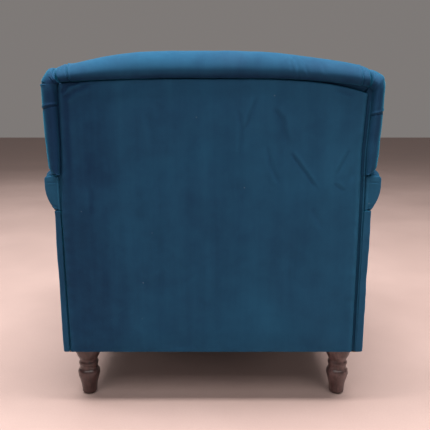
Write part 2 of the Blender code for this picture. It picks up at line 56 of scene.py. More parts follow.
LEG_HEIGHT = 0.150
COVER_FOOT_Z = LEG_HEIGHT + 0.0005
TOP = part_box("inside_back_pad")[1].z
ARM_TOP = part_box("inside_arm_pad_left")[1].z
ARM_FRONT_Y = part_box("inside_arm_pad_left")[0].y
ROLL_TUCK_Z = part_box("outside_arm_panel_left")[1].z
SEAT_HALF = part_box("inside_arm_pad_left")[0].x
INNER_CORNER = 0.065
BACK_BOTTOM_Y = 0.405
BACK_LEAN = 0.0417
INSIDE_BACK_Y = 0.170
INSIDE_BACK_Z = 0.300
INSIDE_BACK_LEAN = 0.224
POCKET_DEPTH = 0.071
SIDES = {"left": 1, "right": -1}


def back_y(z):
    """Outer face of the outside back at height z."""
    return BACK_BOTTOM_Y + (z - LEG_HEIGHT) * BACK_LEAN


def inside_back_y(z):
    """Front face of the inside back at height z."""
    return INSIDE_BACK_Y + (z - INSIDE_BACK_Z) * INSIDE_BACK_LEAN


# --- Mesh tools ------------------------------------------------------------------------------------


def smooth(x, low, high):
    t = np.clip((np.asarray(x, float) - low) / (high - low), 0.0, 1.0)
    return t * t * (3 - 2 * t)


def bell(x, centre, width):
    return np.exp(-(((x - centre) / width) ** 2))


def ripple(points, size, seed, waves=14):
    """A smooth random field of about unit height at (n, 3) points, with features of about this size."""
    rng = np.random.default_rng(seed)
    directions = rng.normal(size=(waves, 3))
    directions /= np.linalg.norm(directions, axis=1)[:, None]
    lengths = size * rng.uniform(0.7, 1.7, waves)
    phases = rng.uniform(0, 2 * math.pi, waves)
    total = np.zeros(len(points))
    for direction, length, phase in zip(directions, lengths, phases):
        total += np.sin(points @ direction * (2 * math.pi / length) + phase)
    return total / math.sqrt(waves / 2)


def fold(u, w, path, width, depth, lip=0.6):
    """Height of a fold along a path in a sheet with coordinates u, w: a groove, and a lip on its left."""
    path = np.asarray(path, float)
    nearest = np.full(np.shape(u), 1e9)
    signed, along = np.zeros(np.shape(u)), np.zeros(np.shape(u))
    for i, (a, b) in enumerate(zip(path[:-1], path[1:])):
        step = b - a
        length = math.hypot(*step)
        t = np.clip(((u - a[0]) * step[0] + (w - a[1]) * step[1]) / length**2, 0, 1)
        du, dw = u - a[0] - t * step[0], w - a[1] - t * step[1]
        distance = np.hypot(du, dw)
        closer = distance < nearest
        nearest = np.where(closer, distance, nearest)
        signed = np.where(closer, np.copysign(distance, step[0] * dw - step[1] * du), signed)
        along = np.where(closer, (i + t) / (len(path) - 1), along)
    ends = smooth(along, 0, 0.22) * smooth(along, 1, 0.78)
    return depth * ends * (lip * bell(signed, 1.7 * width, 1.3 * width) - bell(signed, 0.0, width))


def folds(u, w, table):
    """The summed heights of folds, each (path, width, depth)."""
    return sum(fold(u, w, *row) for row in table)


def round_over(distance, radius):
    """How far below its face a rounded edge lies, at each distance from the edge."""
    return radius * (1 - np.sqrt(1 - np.clip(1 - distance / radius, 0, 1) ** 2))


def apply_modifier(piece, kind, **settings):
    modifier = piece.modifiers.new(kind.lower(), kind)
    for key, value in settings.items():
        setattr(modifier, key, value)
    bpy.context.view_layer.objects.active = piece
    bpy.ops.object.modifier_apply(modifier=modifier.name)


def add_mesh(name, points, faces, surface):
    mesh = bpy.data.meshes.new(name)
    mesh.from_pydata(np.asarray(points).tolist(), [], faces)
    shape = bmesh.new()
    shape.from_mesh(mesh)
    bmesh.ops.recalc_face_normals(shape, faces=shape.faces)
    shape.to_mesh(mesh)
    shape.free()
    mesh.shade_smooth()
    mesh.materials.append(surface)
    made = bpy.data.objects.new(name, mesh)
    bpy.context.scene.collection.objects.link(made)
    return made


def quads(rows, columns, wrap):
    """Faces of a grid of points, row by row, whose rows may close on themselves."""
    faces = []
    for r in range(0, (rows - 1) * columns, columns):
        for c in range(columns if wrap else columns - 1):
            d = (c + 1) % columns
            faces.append((r + c, r + d, r + columns + d, r + columns + c))
    return faces


def band(ring, other):
    """Faces between two closed rings of as many points."""
    return list(zip(ring, ring[1:] + ring[:1], other[1:] + other[:1], other))


def grid_border(rows, columns):
    """The points round the edge of a grid."""
    ring = [*range(columns)] + [r * columns + columns - 1 for r in range(1, rows)]
    ring += [(rows - 1) * columns + c for c in range(columns - 2, -1, -1)]
    return ring + [r * columns for r in range(rows - 2, 0, -1)]


def skin(name, rows, surface, poles=(None, None)):
    """A closed skin through loops of equally many points. An end closes on its pole, or on a flat face."""
    rows = np.asarray(rows)
    count, columns = rows.shape[:2]
    points = list(rows.reshape(-1, 3))
    faces = quads(count, columns, True)
    for pole, start in zip(poles, (0, (count - 1) * columns)):
        if pole is None:
            faces.append(tuple(range(start, start + columns)))
            continue
        points.append(np.asarray(pole, float))
        faces += [(start + c, start + (c + 1) % columns, len(points) - 1) for c in range(columns)]
    return add_mesh(name, points, faces, surface)


def slab(name, outer, inner, surface):
    """A closed slab between two grids of the same size."""
    rows, columns = outer.shape[:2]
    half = rows * columns
    faces = quads(rows, columns, False)
    faces += [tuple(half + i for i in reversed(face)) for face in faces]
    border = grid_border(rows, columns)
    faces += band(border, [half + i for i in border])
    return add_mesh(name, np.concatenate([outer.reshape(-1, 3), inner.reshape(-1, 3)]), faces, surface)


def little_boxes(name, boxes, surface, taper=1.0):
    """Flat-sided boxes in one piece, each (centre, half sizes). taper narrows their +Y face in Z."""
    faces, points = [], []
    for centre, half in boxes:
        start = len(points)
        for corner in ((-1, -1, -1), (1, -1, -1), (1, 1, -1), (-1, 1, -1),
                       (-1, -1, 1), (1, -1, 1), (1, 1, 1), (-1, 1, 1)):
            shrink = (1, 1, taper if corner[1] > 0 else 1.0)
            points.append(np.array(centre) + np.array(half) * corner * shrink)
        faces += [tuple(start + k for k in face) for face in
                  ((0, 1, 2, 3), (4, 5, 6, 7), (0, 1, 5, 4), (1, 2, 6, 5), (2, 3, 7, 6), (3, 0, 4, 7))]
    made = add_mesh(name, points, faces, surface)
    made.data.shade_flat()
    return made


def positions(piece):
    flat = np.empty(len(piece.data.vertices) * 3)
    piece.data.vertices.foreach_get("co", flat)
    return flat.reshape(-1, 3)


def normals(piece):
    flat = np.empty(len(piece.data.vertices) * 3)
    piece.data.vertex_normals.foreach_get("vector", flat)
    return flat.reshape(-1, 3)


def place_points(piece, points):
    piece.data.vertices.foreach_set("co", np.ascontiguousarray(points).ravel())
    piece.data.update()


def raise_points(piece, height):
    """Moves each point along its normal."""
    place_points(piece, positions(piece) + normals(piece) * np.asarray(height)[:, None])


def paint_lay_and_light(piece, lightness):
    """Sets how light the velvet is painted at each point, in its pile attribute: the lay of the pile, and
    painted light and shade.
    """
    lightness = np.broadcast_to(np.asarray(lightness, float), len(piece.data.vertices))
    made = piece.data.attributes.new("pile", "FLOAT", "POINT")
    made.data.foreach_set("value", np.ascontiguousarray(lightness))


def inset_loop(loop, amount):
    """The closed (n, 2) loop moved inwards."""
    before, after = np.roll(loop, 1, axis=0), np.roll(loop, -1, axis=0)
    area = (loop[:, 0] * after[:, 1] - after[:, 0] * loop[:, 1]).sum()
    tangent = after - before
    tangent /= np.maximum(np.linalg.norm(tangent, axis=1), 1e-9)[:, None]
    inward = np.column_stack([-tangent[:, 1], tangent[:, 0]]) * math.copysign(1, area)
    return loop + inward * amount


def even_loop(corners, spacing):
    """A closed loop of points through corners, about evenly spaced."""
    points = []
    for a, b in zip(corners, corners[1:] + corners[:1]):
        a, b = np.asarray(a, float), np.asarray(b, float)
        count = max(1, round(np.linalg.norm(b - a) / spacing))
        points += [a + (b - a) * i / count for i in range(count)]
    return np.array(points)


def arc(cx, cz, radius_x, radius_z, start, end, count):
    """Points on an ellipse's arc, in degrees, without its end."""
    angle = np.radians(np.linspace(start, end, count, endpoint=False))
    return np.column_stack([cx + radius_x * np.cos(angle), cz + radius_z * np.sin(angle)])


def evenly_along(path, count):
    """count points spaced evenly along a path, without its end."""
    gone = np.r_[0, np.cumsum(np.linalg.norm(np.diff(path, axis=0), axis=1))]
    places = np.linspace(0, gone[-1], count, endpoint=False)
    return np.column_stack([np.interp(places, gone, path[:, k]) for k in range(path.shape[1])])


def line(a, b, count):
    t = np.linspace(0, 1, count, endpoint=False)[:, None]
    return np.asarray(a, float) * (1 - t) + np.asarray(b, float) * t


def plate(name, outline, centre, lay, thickness, edge, puff, surface):
    """A padded plate with a rounded edge and a swelling face. lay turns (u, w) and a height into points."""
    rows = [lay(inset_loop(outline, 0.3 * edge), 0.0)]
    rows += [lay(outline, h) for h in np.linspace(0.2, 1.0, 4) * (thickness - edge)]
    for angle in np.radians(np.linspace(0, 90, 7)[1:]):
        loop = inset_loop(outline, edge * (1 - math.cos(angle)))
        rows.append(lay(loop, thickness - edge * (1 - math.sin(angle))))
    inner = inset_loop(outline, edge)
    for share in np.linspace(1, 0, 16)[1:-1]:
        rows.append(lay(centre + (inner - centre) * share, thickness + puff * (1 - share**2) ** 2))
    poles = [lay(np.array([centre]), h)[0] for h in (0.0, thickness + puff)]
    return skin(name, rows, surface, poles)


def tube(name, path, radius, surface, closed=False, sides=10):
    """A round cord along a path of points, without twist."""
    path = np.asarray(path, float)
    if closed:
        tangents = np.roll(path, -1, axis=0) - np.roll(path, 1, axis=0)
    else:
        tangents = np.gradient(path, axis=0)
    tangents /= np.linalg.norm(tangents, axis=1)[:, None]
    across = np.cross(tangents[0], (0.31, 0.22, 0.93))  # any direction that no path here starts in
    across /= np.linalg.norm(across)
    frames = []
    for tangent in tangents:
        across = across - tangent * (across @ tangent)
        across /= np.linalg.norm(across)
        frames.append((across.copy(), np.cross(tangent, across)))
    leftover = 0.0
    if closed:  # the turn left over at the end is spread over the loop
        start, end = frames[0], frames[-1]
        leftover = math.atan2(end[0] @ start[1], end[0] @ start[0])
    rows = []
    for i, (point, (u, v)) in enumerate(zip(path, frames)):
        angles = np.linspace(0, 2 * math.pi, sides, endpoint=False) - leftover * i / len(path)
        rows.append(point + radius * (np.outer(np.cos(angles), u) + np.outer(np.sin(angles), v)))
    if not closed:
        return skin(name, rows, surface, (path[0], path[-1]))
    last = (len(rows) - 1) * sides
    faces = quads(len(rows), sides, True) + band([*range(last, last + sides)], [*range(sides)])
    return add_mesh(name, np.asarray(rows).reshape(-1, 3), faces, surface)


def cut_corners(points):
    """The closed path with its corners cut."""
    after = np.roll(points, -1, axis=0)
    return np.stack([0.75 * points + 0.25 * after, 0.25 * points + 0.75 * after], 1).reshape(-1, 3)


# --- Materials -------------------------------------------------------------------------------------


class Nodes:
    """A material's node tree, with short calls to add to it."""

    def __init__(self, name, **uniform):
        self.material = bpy.data.materials.new(name)
        self.material.use_nodes = True
        self.tree = self.material.node_tree
        self.shader = self.tree.nodes["Principled BSDF"]
        for socket, value in uniform.items():
            self.shader.inputs[socket.replace("_", " ")].default_value = value
        self.place = self.tree.nodes.new("ShaderNodeTexCoord").outputs["Object"]

    def add(self, kind, values=(), **settings):
        made = self.tree.nodes.new("ShaderNode" + kind)
        for key, value in settings.items():
            setattr(made, key, value)
        for socket, value in dict(values).items():
            if isinstance(value, bpy.types.NodeSocket):
                self.tree.links.new(value, made.inputs[socket])
            else:
                made.inputs[socket].default_value = value
        return made

    def stretched(self, *scale):
        return self.add("Mapping", {"Vector": self.place, "Scale": scale}).outputs["Vector"]

    def noise(self, scale, detail=3.0, rough=0.55, vector=None, distortion=0.0):
        values = {"Vector": vector or self.place, "Scale": scale, "Detail": detail, "Roughness": rough,
                  "Distortion": distortion}
        return self.add("TexNoise", values).outputs["Fac"]

    def cells(self, scale):
        return self.add("TexVoronoi", {"Vector": self.place, "Scale": scale}).outputs["Distance"]

    def spread(self, factor, low, high, out_low=0.0, out_high=1.0):
        values = {"Value": factor, "From Min": low, "From Max": high, "To Min": out_low, "To Max": out_high}
        return self.add("MapRange", values).outputs["Result"]

    def mix(self, factor, a, b):
        """Colours a and b, each a socket or linear RGB."""
        a, b = [v if isinstance(v, bpy.types.NodeSocket) else (*v, 1.0) for v in (a, b)]
        return self.add("Mix", {0: factor, 6: a, 7: b}, data_type="RGBA").outputs[2]

    def maths(self, operation, a, b):
        return self.add("Math", {0: a, 1: b}, operation=operation).outputs[0]

    def finish(self, colour, roughness, *bumps):
        """Links what varies over the surface. Each bump is (height socket, distance in metres)."""
        normal = None
        for height, distance in bumps:
            values = {"Height": height, "Distance": distance, "Strength": 1.0}
            if normal:
                values["Normal"] = normal
            normal = self.add("Bump", values).outputs["Normal"]
        for socket, source in (("Base Color", colour), ("Roughness", roughness), ("Normal", normal)):
            self.tree.links.new(source, self.shader.inputs[socket])
        return self.material


def velvet_material():
    """Teal cut velvet. The pile lies in broad patches and upright streaks, and glows at grazing angles.

    A mesh's pile attribute says how light the velvet is painted there, from the lay of its pile and from
    painted light and shade: 0 is the middle tone.
    """
    deep, bright, fibre = (0.0062, 0.0212, 0.0610), (0.0270, 0.1370, 0.2480), (0.0120, 0.0640, 0.1380)
    made = Nodes("velvet", Sheen_Weight=0.50, Sheen_Roughness=0.32, Sheen_Tint=(0.03, 0.50, 0.80, 1.0),
                 Specular_IOR_Level=0.08)
    patches = made.noise(4.2, 3.0, 0.5, distortion=0.4)
    streaks = made.noise(1.0, 4.0, 0.6, made.stretched(36.0, 22.0, 2.4))
    mottle = made.noise(24.0, 4.0, 0.6, distortion=0.3)
    pile = made.noise(1400.0, 2.0, 0.6)
    # the pile attribute: the pile's lay, with the painted light and shade that the meshes carry
    lay_and_painted_light = made.add("Attribute", attribute_name="pile").outputs["Fac"]
    lay = made.maths("ADD", made.spread(patches, 0.33, 0.68, 0.22, 0.58),
                     made.spread(streaks, 0.32, 0.70, 0.0, 0.22))
    lay = made.maths("ADD", lay, made.spread(mottle, 0.34, 0.68, -0.10, 0.13))
    lay = made.maths("MULTIPLY", made.maths("ADD", lay, lay_and_painted_light), 0.5)
    tone = made.mix(lay, deep, bright)
    tone = made.mix(made.spread(pile, 0.30, 0.72, 0.0, 0.45), tone, fibre)
    lint = made.spread(made.cells(17.0), 0.012, 0.028, 0.55, 0.0)
    return made.finish(made.mix(lint, tone, (0.30, 0.36, 0.40)), made.spread(patches, 0.3, 0.7, 0.72, 0.95),
                       (made.noise(30.0, 3.0, 0.5), 0.0004), (pile, 0.00022))


def walnut_material(name, dust):
    """Dark stained and lacquered turned wood, its grain along the leg, with dust and scuffs."""
    made = Nodes(name, Coat_Weight=0.45, Coat_Roughness=0.16)
    grain = made.noise(1.0, 6.0, 0.62, made.stretched(150.0, 150.0, 9.0), distortion=0.8)
    figure = made.noise(1.0, 3.0, 0.5, made.stretched(26.0, 26.0, 5.0))
    tone = made.mix(made.spread(grain, 0.36, 0.66), (0.015, 0.0038, 0.0036), (0.050, 0.0145, 0.0130))
    tone = made.mix(made.spread(figure, 0.40, 0.72, 0.0, 0.7), tone, (0.028, 0.0078, 0.0070))
    film = made.noise(1.0, 5.0, 0.65, made.stretched(60.0, 60.0, 24.0))
    dusted = made.mix(made.spread(film, 0.42, 0.75, 0.03 * dust, 0.30 * dust), tone, (0.36, 0.228, 0.225))
    return made.finish(dusted, made.spread(film, 0.30, 0.72, 0.28, 0.52),
                       (grain, 0.00025), (made.noise(420.0, 2.0), 0.00010))


def beech_material():
    """Bare planed beech: pale, with short dark flecks along the grain."""
    made = Nodes("bare_beech", Specular_IOR_Level=0.3)
    grain = made.noise(1.0, 5.0, 0.6, made.stretched(9.0, 60.0, 60.0), distortion=0.6)
    flecks = made.noise(1.0, 2.0, 0.5, made.stretched(90.0, 420.0, 420.0))
    tone = made.mix(made.spread(grain, 0.34, 0.68), (0.40, 0.24, 0.125), (0.60, 0.41, 0.24))
    tone = made.mix(made.spread(flecks, 0.60, 0.72, 0.0, 0.6), tone, (0.25, 0.13, 0.06))
    return made.finish(tone, made.spread(grain, 0.3, 0.7, 0.55, 0.75), (grain, 0.0004), (flecks, 0.0002))


def steel_material():
    """Zinc-plated steel with fine wear and dull patches."""
    made = Nodes("plated_steel", Metallic=1.0)
    wear = made.noise(55.0, 4.0, 0.6)
    fine = made.noise(1500.0, 2.0)
    return made.finish(made.mix(made.spread(wear, 0.35, 0.7), (0.50, 0.50, 0.49), (0.30, 0.29, 0.27)),
                       made.spread(wear, 0.3, 0.7, 0.24, 0.50), (fine, 0.00004))


def woven_material(name, dark, light, pitch, rough):
    """A plain weave: two sets of threads at right angles over the piece, a little uneven."""
    made = Nodes(name, Specular_IOR_Level=0.2, Sheen_Weight=0.15)
    values = {"Vector": made.place, "Scale": 1 / (pitch * 20), "Distortion": 0.6, "Detail": 1.0}
    x, y, z = [made.add("TexWave", values, wave_type="BANDS", bands_direction=axis).outputs["Fac"]
               for axis in "XYZ"]
    cross = made.maths("MULTIPLY", made.maths("ADD", x, y), made.maths("ADD", z, 0.4))
    uneven = made.noise(24.0, 4.0, 0.6)
    tone = made.mix(made.spread(cross, 0.2, 1.6), dark, light)
    return made.finish(made.mix(made.spread(uneven, 0.35, 0.7, 0.0, 0.5), tone, dark),
                       made.spread(uneven, 0.3, 0.7, rough, rough + 0.12),
                       (cross, pitch * 0.35), (uneven, 0.0006))


def nylon_material():
    made = Nodes("moulded_nylon", Specular_IOR_Level=0.4)
    scuffs = made.noise(260.0, 4.0, 0.65)
    return made.finish(made.mix(made.spread(scuffs, 0.4, 0.7), (0.030, 0.026, 0.022), (0.085, 0.075, 0.065)),
                       made.spread(scuffs, 0.3, 0.7, 0.38, 0.62), (scuffs, 0.00015))


def foam_material():
    made = Nodes("open_cell_foam", Specular_IOR_Level=0.1)
    cells, age = made.cells(650.0), made.noise(7.0, 3.0)
    return made.finish(made.mix(made.spread(age, 0.35, 0.7), (0.78, 0.72, 0.52), (0.70, 0.60, 0.38)),
                       made.spread(age, 0.3, 0.7, 0.85, 0.97), (cells, 0.0006))


def concrete_material():
    """A pale, slightly pink floor with soft blotches, for the studio."""
    made = Nodes("pale_floor", Specular_IOR_Level=0.25)
    blotch = made.noise(1.6, 5.0, 0.6)
    grit = made.noise(240.0, 3.0, 0.6)
    tone = made.mix(made.spread(blotch, 0.32, 0.7), (0.435, 0.318, 0.292), (0.495, 0.368, 0.340))
    return made.finish(made.mix(made.spread(grit, 0.35, 0.7, 0.0, 0.18), tone, (0.34, 0.240, 0.218)),
                       made.spread(blotch, 0.3, 0.7, 0.55, 0.80), (grit, 0.0004))


velvet = velvet_material()
walnut = walnut_material("dark_walnut", 0.30)
dusty_walnut = walnut_material("dusty_walnut", 1.35)
beech = beech_material()
steel = steel_material()
lining = woven_material("black_lining", (0.006, 0.006, 0.007), (0.030, 0.030, 0.033), 0.0012, 0.80)
webbing = woven_material("jute_webbing", (0.13, 0.095, 0.055), (0.36, 0.29, 0.19), 0.0024, 0.80)
nylon = nylon_material()
foam = foam_material()


def finish_piece(piece, replaced=(), body="chair", slot="velvet"):
    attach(piece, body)
    if replaced:
        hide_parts(*replaced)


def area_light(name, place, target, size, power, colour):
    data = bpy.data.lights.new(name, "AREA")
    data.shape, data.size, data.size_y = "RECTANGLE", *size
    data.energy, data.color = power, colour
    lamp = bpy.data.objects.new(name, data)
    lamp.location = place
    lamp.rotation_euler = (Vector(target) - Vector(place)).to_track_quat("-Z", "Y").to_euler()
    lamp.visible_camera = False
    bpy.context.scene.collection.objects.link(lamp)


# --- Camera, light and floor -----------------------------------------------------------------------


def make_studio():
    scene = bpy.context.scene
    scene.view_settings.view_transform = "Standard"
    camera = bpy.data.objects.new("camera", bpy.data.cameras.new("camera"))
    camera.data.sensor_width, camera.data.lens = 36.0, 46.9
    camera.location = (-0.0055, 1.845, 0.810)
    camera.rotation_euler = (math.radians(79.2), 0.0, math.radians(180.0))
    scene.collection.objects.link(camera)
    scene.camera = camera
    area_light("overhead", (0.0, 0.55, 3.6), (0.0, 0.50, 0.0), (4.6, 1.1), 282.0, (1.0, 0.95, 0.92))
    area_light("rear_high", (0.0, 2.7, 3.2), (0.0, 0.6, 0.1), (6.0, 1.6), 76.0, (1.0, 0.96, 0.93))
    area_light("front_soft", (1.2, -3.4, 3.2), (0.0, 0.0, 0.3), (3.4, 2.0), 60.0, (1.0, 0.98, 0.96))
    area_light("under_fill", (0.0, 0.05, 0.140), (0.0, 0.05, 0.0), (0.6, 0.6), 0.15, (1.0, 0.90, 0.87))
    scene.world = bpy.data.worlds.new("studio")
    scene.world.use_nodes = True
    background = scene.world.node_tree.nodes["Background"]
    background.inputs["Color"].default_value = (0.80, 0.74, 0.71, 1.0)
    background.inputs["Strength"].default_value = 0.26
    half = 14.0
    corners = [(-half, -half, 0), (half, -half, 0), (half, half, 0), (-half, half, 0)]
    add_mesh("floor", corners, [(0, 1, 2, 3)], concrete_material())


# --- The back --------------------------------------------------------------------------------------

WING = 0.431  # half width at the shoulders
WING_FOOT = 0.424
SHOULDER_Z = 0.909  # top of the round corners
CORNER = 0.047
FRONT_EDGE = (0.045, 0.050)  # how far the front edge's rounding goes in and back
ARCH_SWELL = 0.0028
ROLL_BULGE, ROLL_DEPTH = 0.0138, 0.0478
PANEL_HALF, PANEL_HIGH = 0.385, 0.730  # the outside back
SEAM_TOP_Z, SEAM_SHOULDER_Z = 0.8805, 0.86
COUNTS = {"bottom": 60, "foot": 14, "side": 60, "armhole": 26, "ledge": 14, "heel": 18, "wing": 112,
          "corner": 64, "arch": 160}
STARTS = dict(zip(COUNTS, np.cumsum([0, *COUNTS.values()])))
ARCH_SHARES = np.concatenate([np.linspace(1, 0.86, 46, endpoint=False), np.linspace(0.86, 0, 115)])
BACK_CENTRE = np.array([0.0, 0.70])
ARMHOLE_TURN = 105  # the angle on the armhole's arc where its points pass to the ledge, in degrees


def arch_drop(x, span):
    return (TOP - SHOULDER_Z) * np.abs(x / span) ** 3


def back_half(inset, sign):
    """Half of the back's (x, z) outline moved in by inset: up the side and over to the middle of the top."""
    between, foot_z = SEAT_HALF - 0.0015, INSIDE_BACK_Z + inset
    arm_x, arm_z = SEAT_HALF + INNER_CORNER, ARM_TOP - INNER_CORNER
    over = INNER_CORNER + 0.0015 + inset
    foot, heel, corner = max(0.030 - inset, 0.004), max(0.011 - inset, 0.005), max(CORNER - inset, 0.006)
    # over the arm: an arc, then a level ledge; where the wing comes first, the arc stops short at it
    ledge_end = WING_FOOT - inset - heel
    last_angle = math.degrees(math.acos(min((ledge_end - arm_x) / over, 0.0)))
    ledge_x = arm_x + over * math.cos(math.radians(last_angle))
    ledge_z = arm_z + over * math.sin(math.radians(last_angle))
    ledge = np.concatenate([arc(arm_x, arm_z, over, over, ARMHOLE_TURN, last_angle, 40),
                            [(max(ledge_x, ledge_end), ledge_z)]])
    top_x, corner_z = WING - inset - corner, SHOULDER_Z - inset - corner
    wing_z = np.linspace(ledge_z + heel, corner_z, COUNTS["wing"], endpoint=False)
    flare = np.sin(np.linspace(0, math.pi / 2, COUNTS["wing"], endpoint=False))
    arch_x = top_x * ARCH_SHARES
    arch_z = TOP + ARCH_SWELL * (1 - smooth(arch_x, 0.16, 0.32)) - inset - arch_drop(arch_x, top_x)
    if sign < 0:
        arch_z -= 0.0045 * bell(arch_x, 0.24, 0.09) * smooth(top_x - arch_x, 0.0, 0.04)
    return np.concatenate([
        line((0, foot_z), (between - inset - foot, foot_z), COUNTS["bottom"]),
        arc(between - inset - foot, foot_z + foot, foot, foot, -90, 0, COUNTS["foot"]),
        line((between - inset, foot_z + foot), (between - inset, arm_z), COUNTS["side"]),
        arc(arm_x, arm_z, over, over, 180, ARMHOLE_TURN, COUNTS["armhole"]),
        evenly_along(ledge, COUNTS["ledge"]),
        arc(ledge_end, ledge_z + heel, heel, heel, -90, 0, COUNTS["heel"]),
        np.column_stack([WING_FOOT - inset + (WING - WING_FOOT) * flare, wing_z]),
        arc(top_x, corner_z, corner, corner, 0, 90, COUNTS["corner"]),
        np.column_stack([arch_x, arch_z]),
    ])


def whole_loop(half_of_side):
    """A closed loop from the two sides' halves, which share their first and last points."""
    left, right = half_of_side(1), half_of_side(-1)
    return np.concatenate([left, right[-2:0:-1] * (-1, 1)])


def panel_edge_x(z, sign):
    """Half width of the outside back at height z. The two sides aren't quite alike."""
    heights = (0.150, 0.540, 0.700, 0.860)
    widths = (0.390, 0.392, 0.383, 0.381) if sign > 0 else (0.3815, 0.379, 0.3765, 0.384)
    return np.interp(z, heights, widths)


def panel_top_z(x, sign):
    """The outside back's top seam, which droops at the right-hand corner."""
    share = np.abs(x) / PANEL_HALF
    return SEAM_TOP_Z - (0.0104 * share**3 if sign > 0 else 0.0360 * share**3.7)


def seam_half(sign, outset=0.0, rise=0.0):
    """The line where the roll meets the outside back, moved out at the sides by outset and up by rise.

    It has the same points as back_half.
    """
    ledge, heel, wing, corner, arch = [STARTS[part] for part in ("ledge", "heel", "wing", "corner", "arch")]
    outer = back_half(0.0, sign)
    rounded_rim = outset and sign < 0  # the right-hand rim has a plain arch of its own over the drooping seam
    corner_x = panel_edge_x(SEAM_SHOULDER_Z, sign) + outset
    corner_z = 0.861 if rounded_rim else float(panel_top_z(PANEL_HALF, sign)) + rise
    radius = 0.012
    seam = outer.copy()
    seam[ledge:wing, 0] = np.minimum(seam[ledge:wing, 0], panel_edge_x(0.66, sign) + outset)
    wing_z = np.linspace(outer[heel, 1] + 0.004, corner_z - radius, corner - heel, endpoint=False)
    seam[heel:corner] = np.column_stack([panel_edge_x(wing_z, sign) + outset, wing_z])
    seam[corner:arch] = arc(corner_x - radius, corner_z - radius, radius, radius, 0, 90, COUNTS["corner"])
    arch_x = (corner_x - radius) * ARCH_SHARES
    top_z = panel_top_z(arch_x, sign) + rise
    if rounded_rim:
        top_z = SEAM_TOP_Z + rise - (SEAM_TOP_Z + rise - corner_z) * (arch_x / corner_x) ** 3
    seam[arch:] = np.column_stack([arch_x, top_z])
    return seam


def pocket_half(sign):
    """The mouth of the hollow behind the pad, which holds the frame."""
    ledge, heel, corner, arch = [STARTS[part] for part in ("ledge", "heel", "corner", "arch")]
    half, top, corner_z, radius = 0.3975, 0.8815, 0.843, 0.016
    pocket = back_half(0.0, sign)
    foot_z = pocket[heel, 1] + 0.004
    pocket[ledge:heel, 0] = np.minimum(pocket[ledge:heel, 0], half)
    pocket[heel:corner, 0] = half
    pocket[heel:corner, 1] = np.linspace(foot_z, corner_z, corner - heel, endpoint=False)
    pocket[corner:arch] = arc(half - radius, corner_z, radius, radius, 0, 90, COUNTS["corner"])
    arch_x = (half - radius) * ARCH_SHARES
    pocket[arch:] = np.column_stack([arch_x, top - 0.0225 * (arch_x / (half - radius)) ** 2])
    return pocket


def roll_profile():
    """(share of the way out to the rim's edge, offset to the rear) over the roll to its seam."""
    waist, flatness = 0.29, 1.12
    steps = []
    for angle in np.radians(np.linspace(90, 0, 24)[1:]):
        share = waist + (1 - waist) * math.sin(angle) ** flatness
        steps.append((share, ROLL_BULGE - ROLL_DEPTH * (1 - max(math.cos(angle), 0.0) ** flatness)))
    for angle in np.radians(np.linspace(90, 0, 14)[1:]):
        steps.append((waist * (1 - math.cos(angle)), -0.0085 + (ROLL_BULGE + 0.0085) * math.sin(angle)))
    roll = np.array(steps)
    for _ in range(8):
        roll[1:-1] = 0.25 * roll[:-2] + 0.5 * roll[1:-1] + 0.25 * roll[2:]
    return roll


def back_crown(x, z):
    """How far the padded face swells at (x, z)."""
    across = 1 - np.clip(np.abs(x) / 0.390, 0, 1) ** 2.6
    upright = smooth(z, 0.42, 0.62) * (1 - np.clip((z - 0.68) / 0.225, 0, 1) ** 2.6)
    return 0.018 * across * upright


def raised(loop, y, sign=1):
    """The (x, z) loop as points at y, mirrored in X where sign is -1."""
    return np.column_stack([sign * loop[:, 0], np.full(len(loop), y), loop[:, 1]])


def back_rows():
    """Loops of the padded back from the middle of its front, round its edge and rolled rim, into the pocket.

    Returns them with the outline, the row where the front's edge ends, and the row of the seam.
    """
    outer = whole_loop(lambda sign: back_half(0.0, sign))
    seam = whole_loop(seam_half)
    rim = whole_loop(lambda sign: seam_half(sign, 0.0042 if sign > 0 else 0.0118, 0.0004))
    pocket = whole_loop(pocket_half)
    rolled = (smooth(np.abs(outer[:, 0]), 0.386, 0.400) * (outer[:, 1] > ARM_TOP)
              + (np.abs(outer[:, 0]) < 0.386) * (outer[:, 1] > 0.80))[:, None]
    rows = []
    face = whole_loop(lambda sign: back_half(FRONT_EDGE[0], sign))
    for share in np.linspace(0, 1, 37)[1:]:
        flat = BACK_CENTRE + (face - BACK_CENTRE) * share
        crown = back_crown(flat[:, 0], flat[:, 1]) * smooth(1 - share, 0.0, 0.22)
        rows.append(raised(flat, inside_back_y(flat[:, 1]) - crown))
    for angle in np.radians(np.linspace(0, 90, 13)[1:]):
        loop = whole_loop(lambda sign: back_half(FRONT_EDGE[0] * (1 - math.sin(angle)), sign))
        rows.append(raised(loop, inside_back_y(loop[:, 1]) + FRONT_EDGE[1] * (1 - math.cos(angle))))
    edge_row = len(rows)
    front_y = inside_back_y(outer[:, 1]) + FRONT_EDGE[1]
    floor_y = back_y(outer[:, 1]) - POCKET_DEPTH
    roll_y = back_y(outer[:, 1]) + ROLL_BULGE - ROLL_DEPTH
    worked = [raised(outer, front_y + (roll_y - front_y) * share) for share in np.linspace(0, 1, 16)[1:]]
    loops = [(rim + (outer - rim) * share, offset) for share, offset in roll_profile()]
    loops += [(seam + (rim - seam) * 0.5, -0.0088), (seam, -0.0090), (seam, -0.0112)]
    loops += [(pocket, -0.0115), (pocket, -0.030), (pocket, -POCKET_DEPTH)]
    worked += [raised(loop, back_y(loop[:, 1]) + offset) for loop, offset in loops]
    for step, shaped in enumerate(worked, start=1):
        plain = raised(outer, front_y + (floor_y - front_y) * step / len(worked))
        rows.append(shaped * rolled + plain * (1 - rolled))
    mouth = rows[-1][:, [0, 2]]
    for share in (0.7, 0.35):
        flat = BACK_CENTRE + (mouth - BACK_CENTRE) * share
        rows.append(raised(flat, back_y(flat[:, 1]) - POCKET_DEPTH))
    return np.asarray(rows), outer, edge_row, edge_row + len(worked) - 6


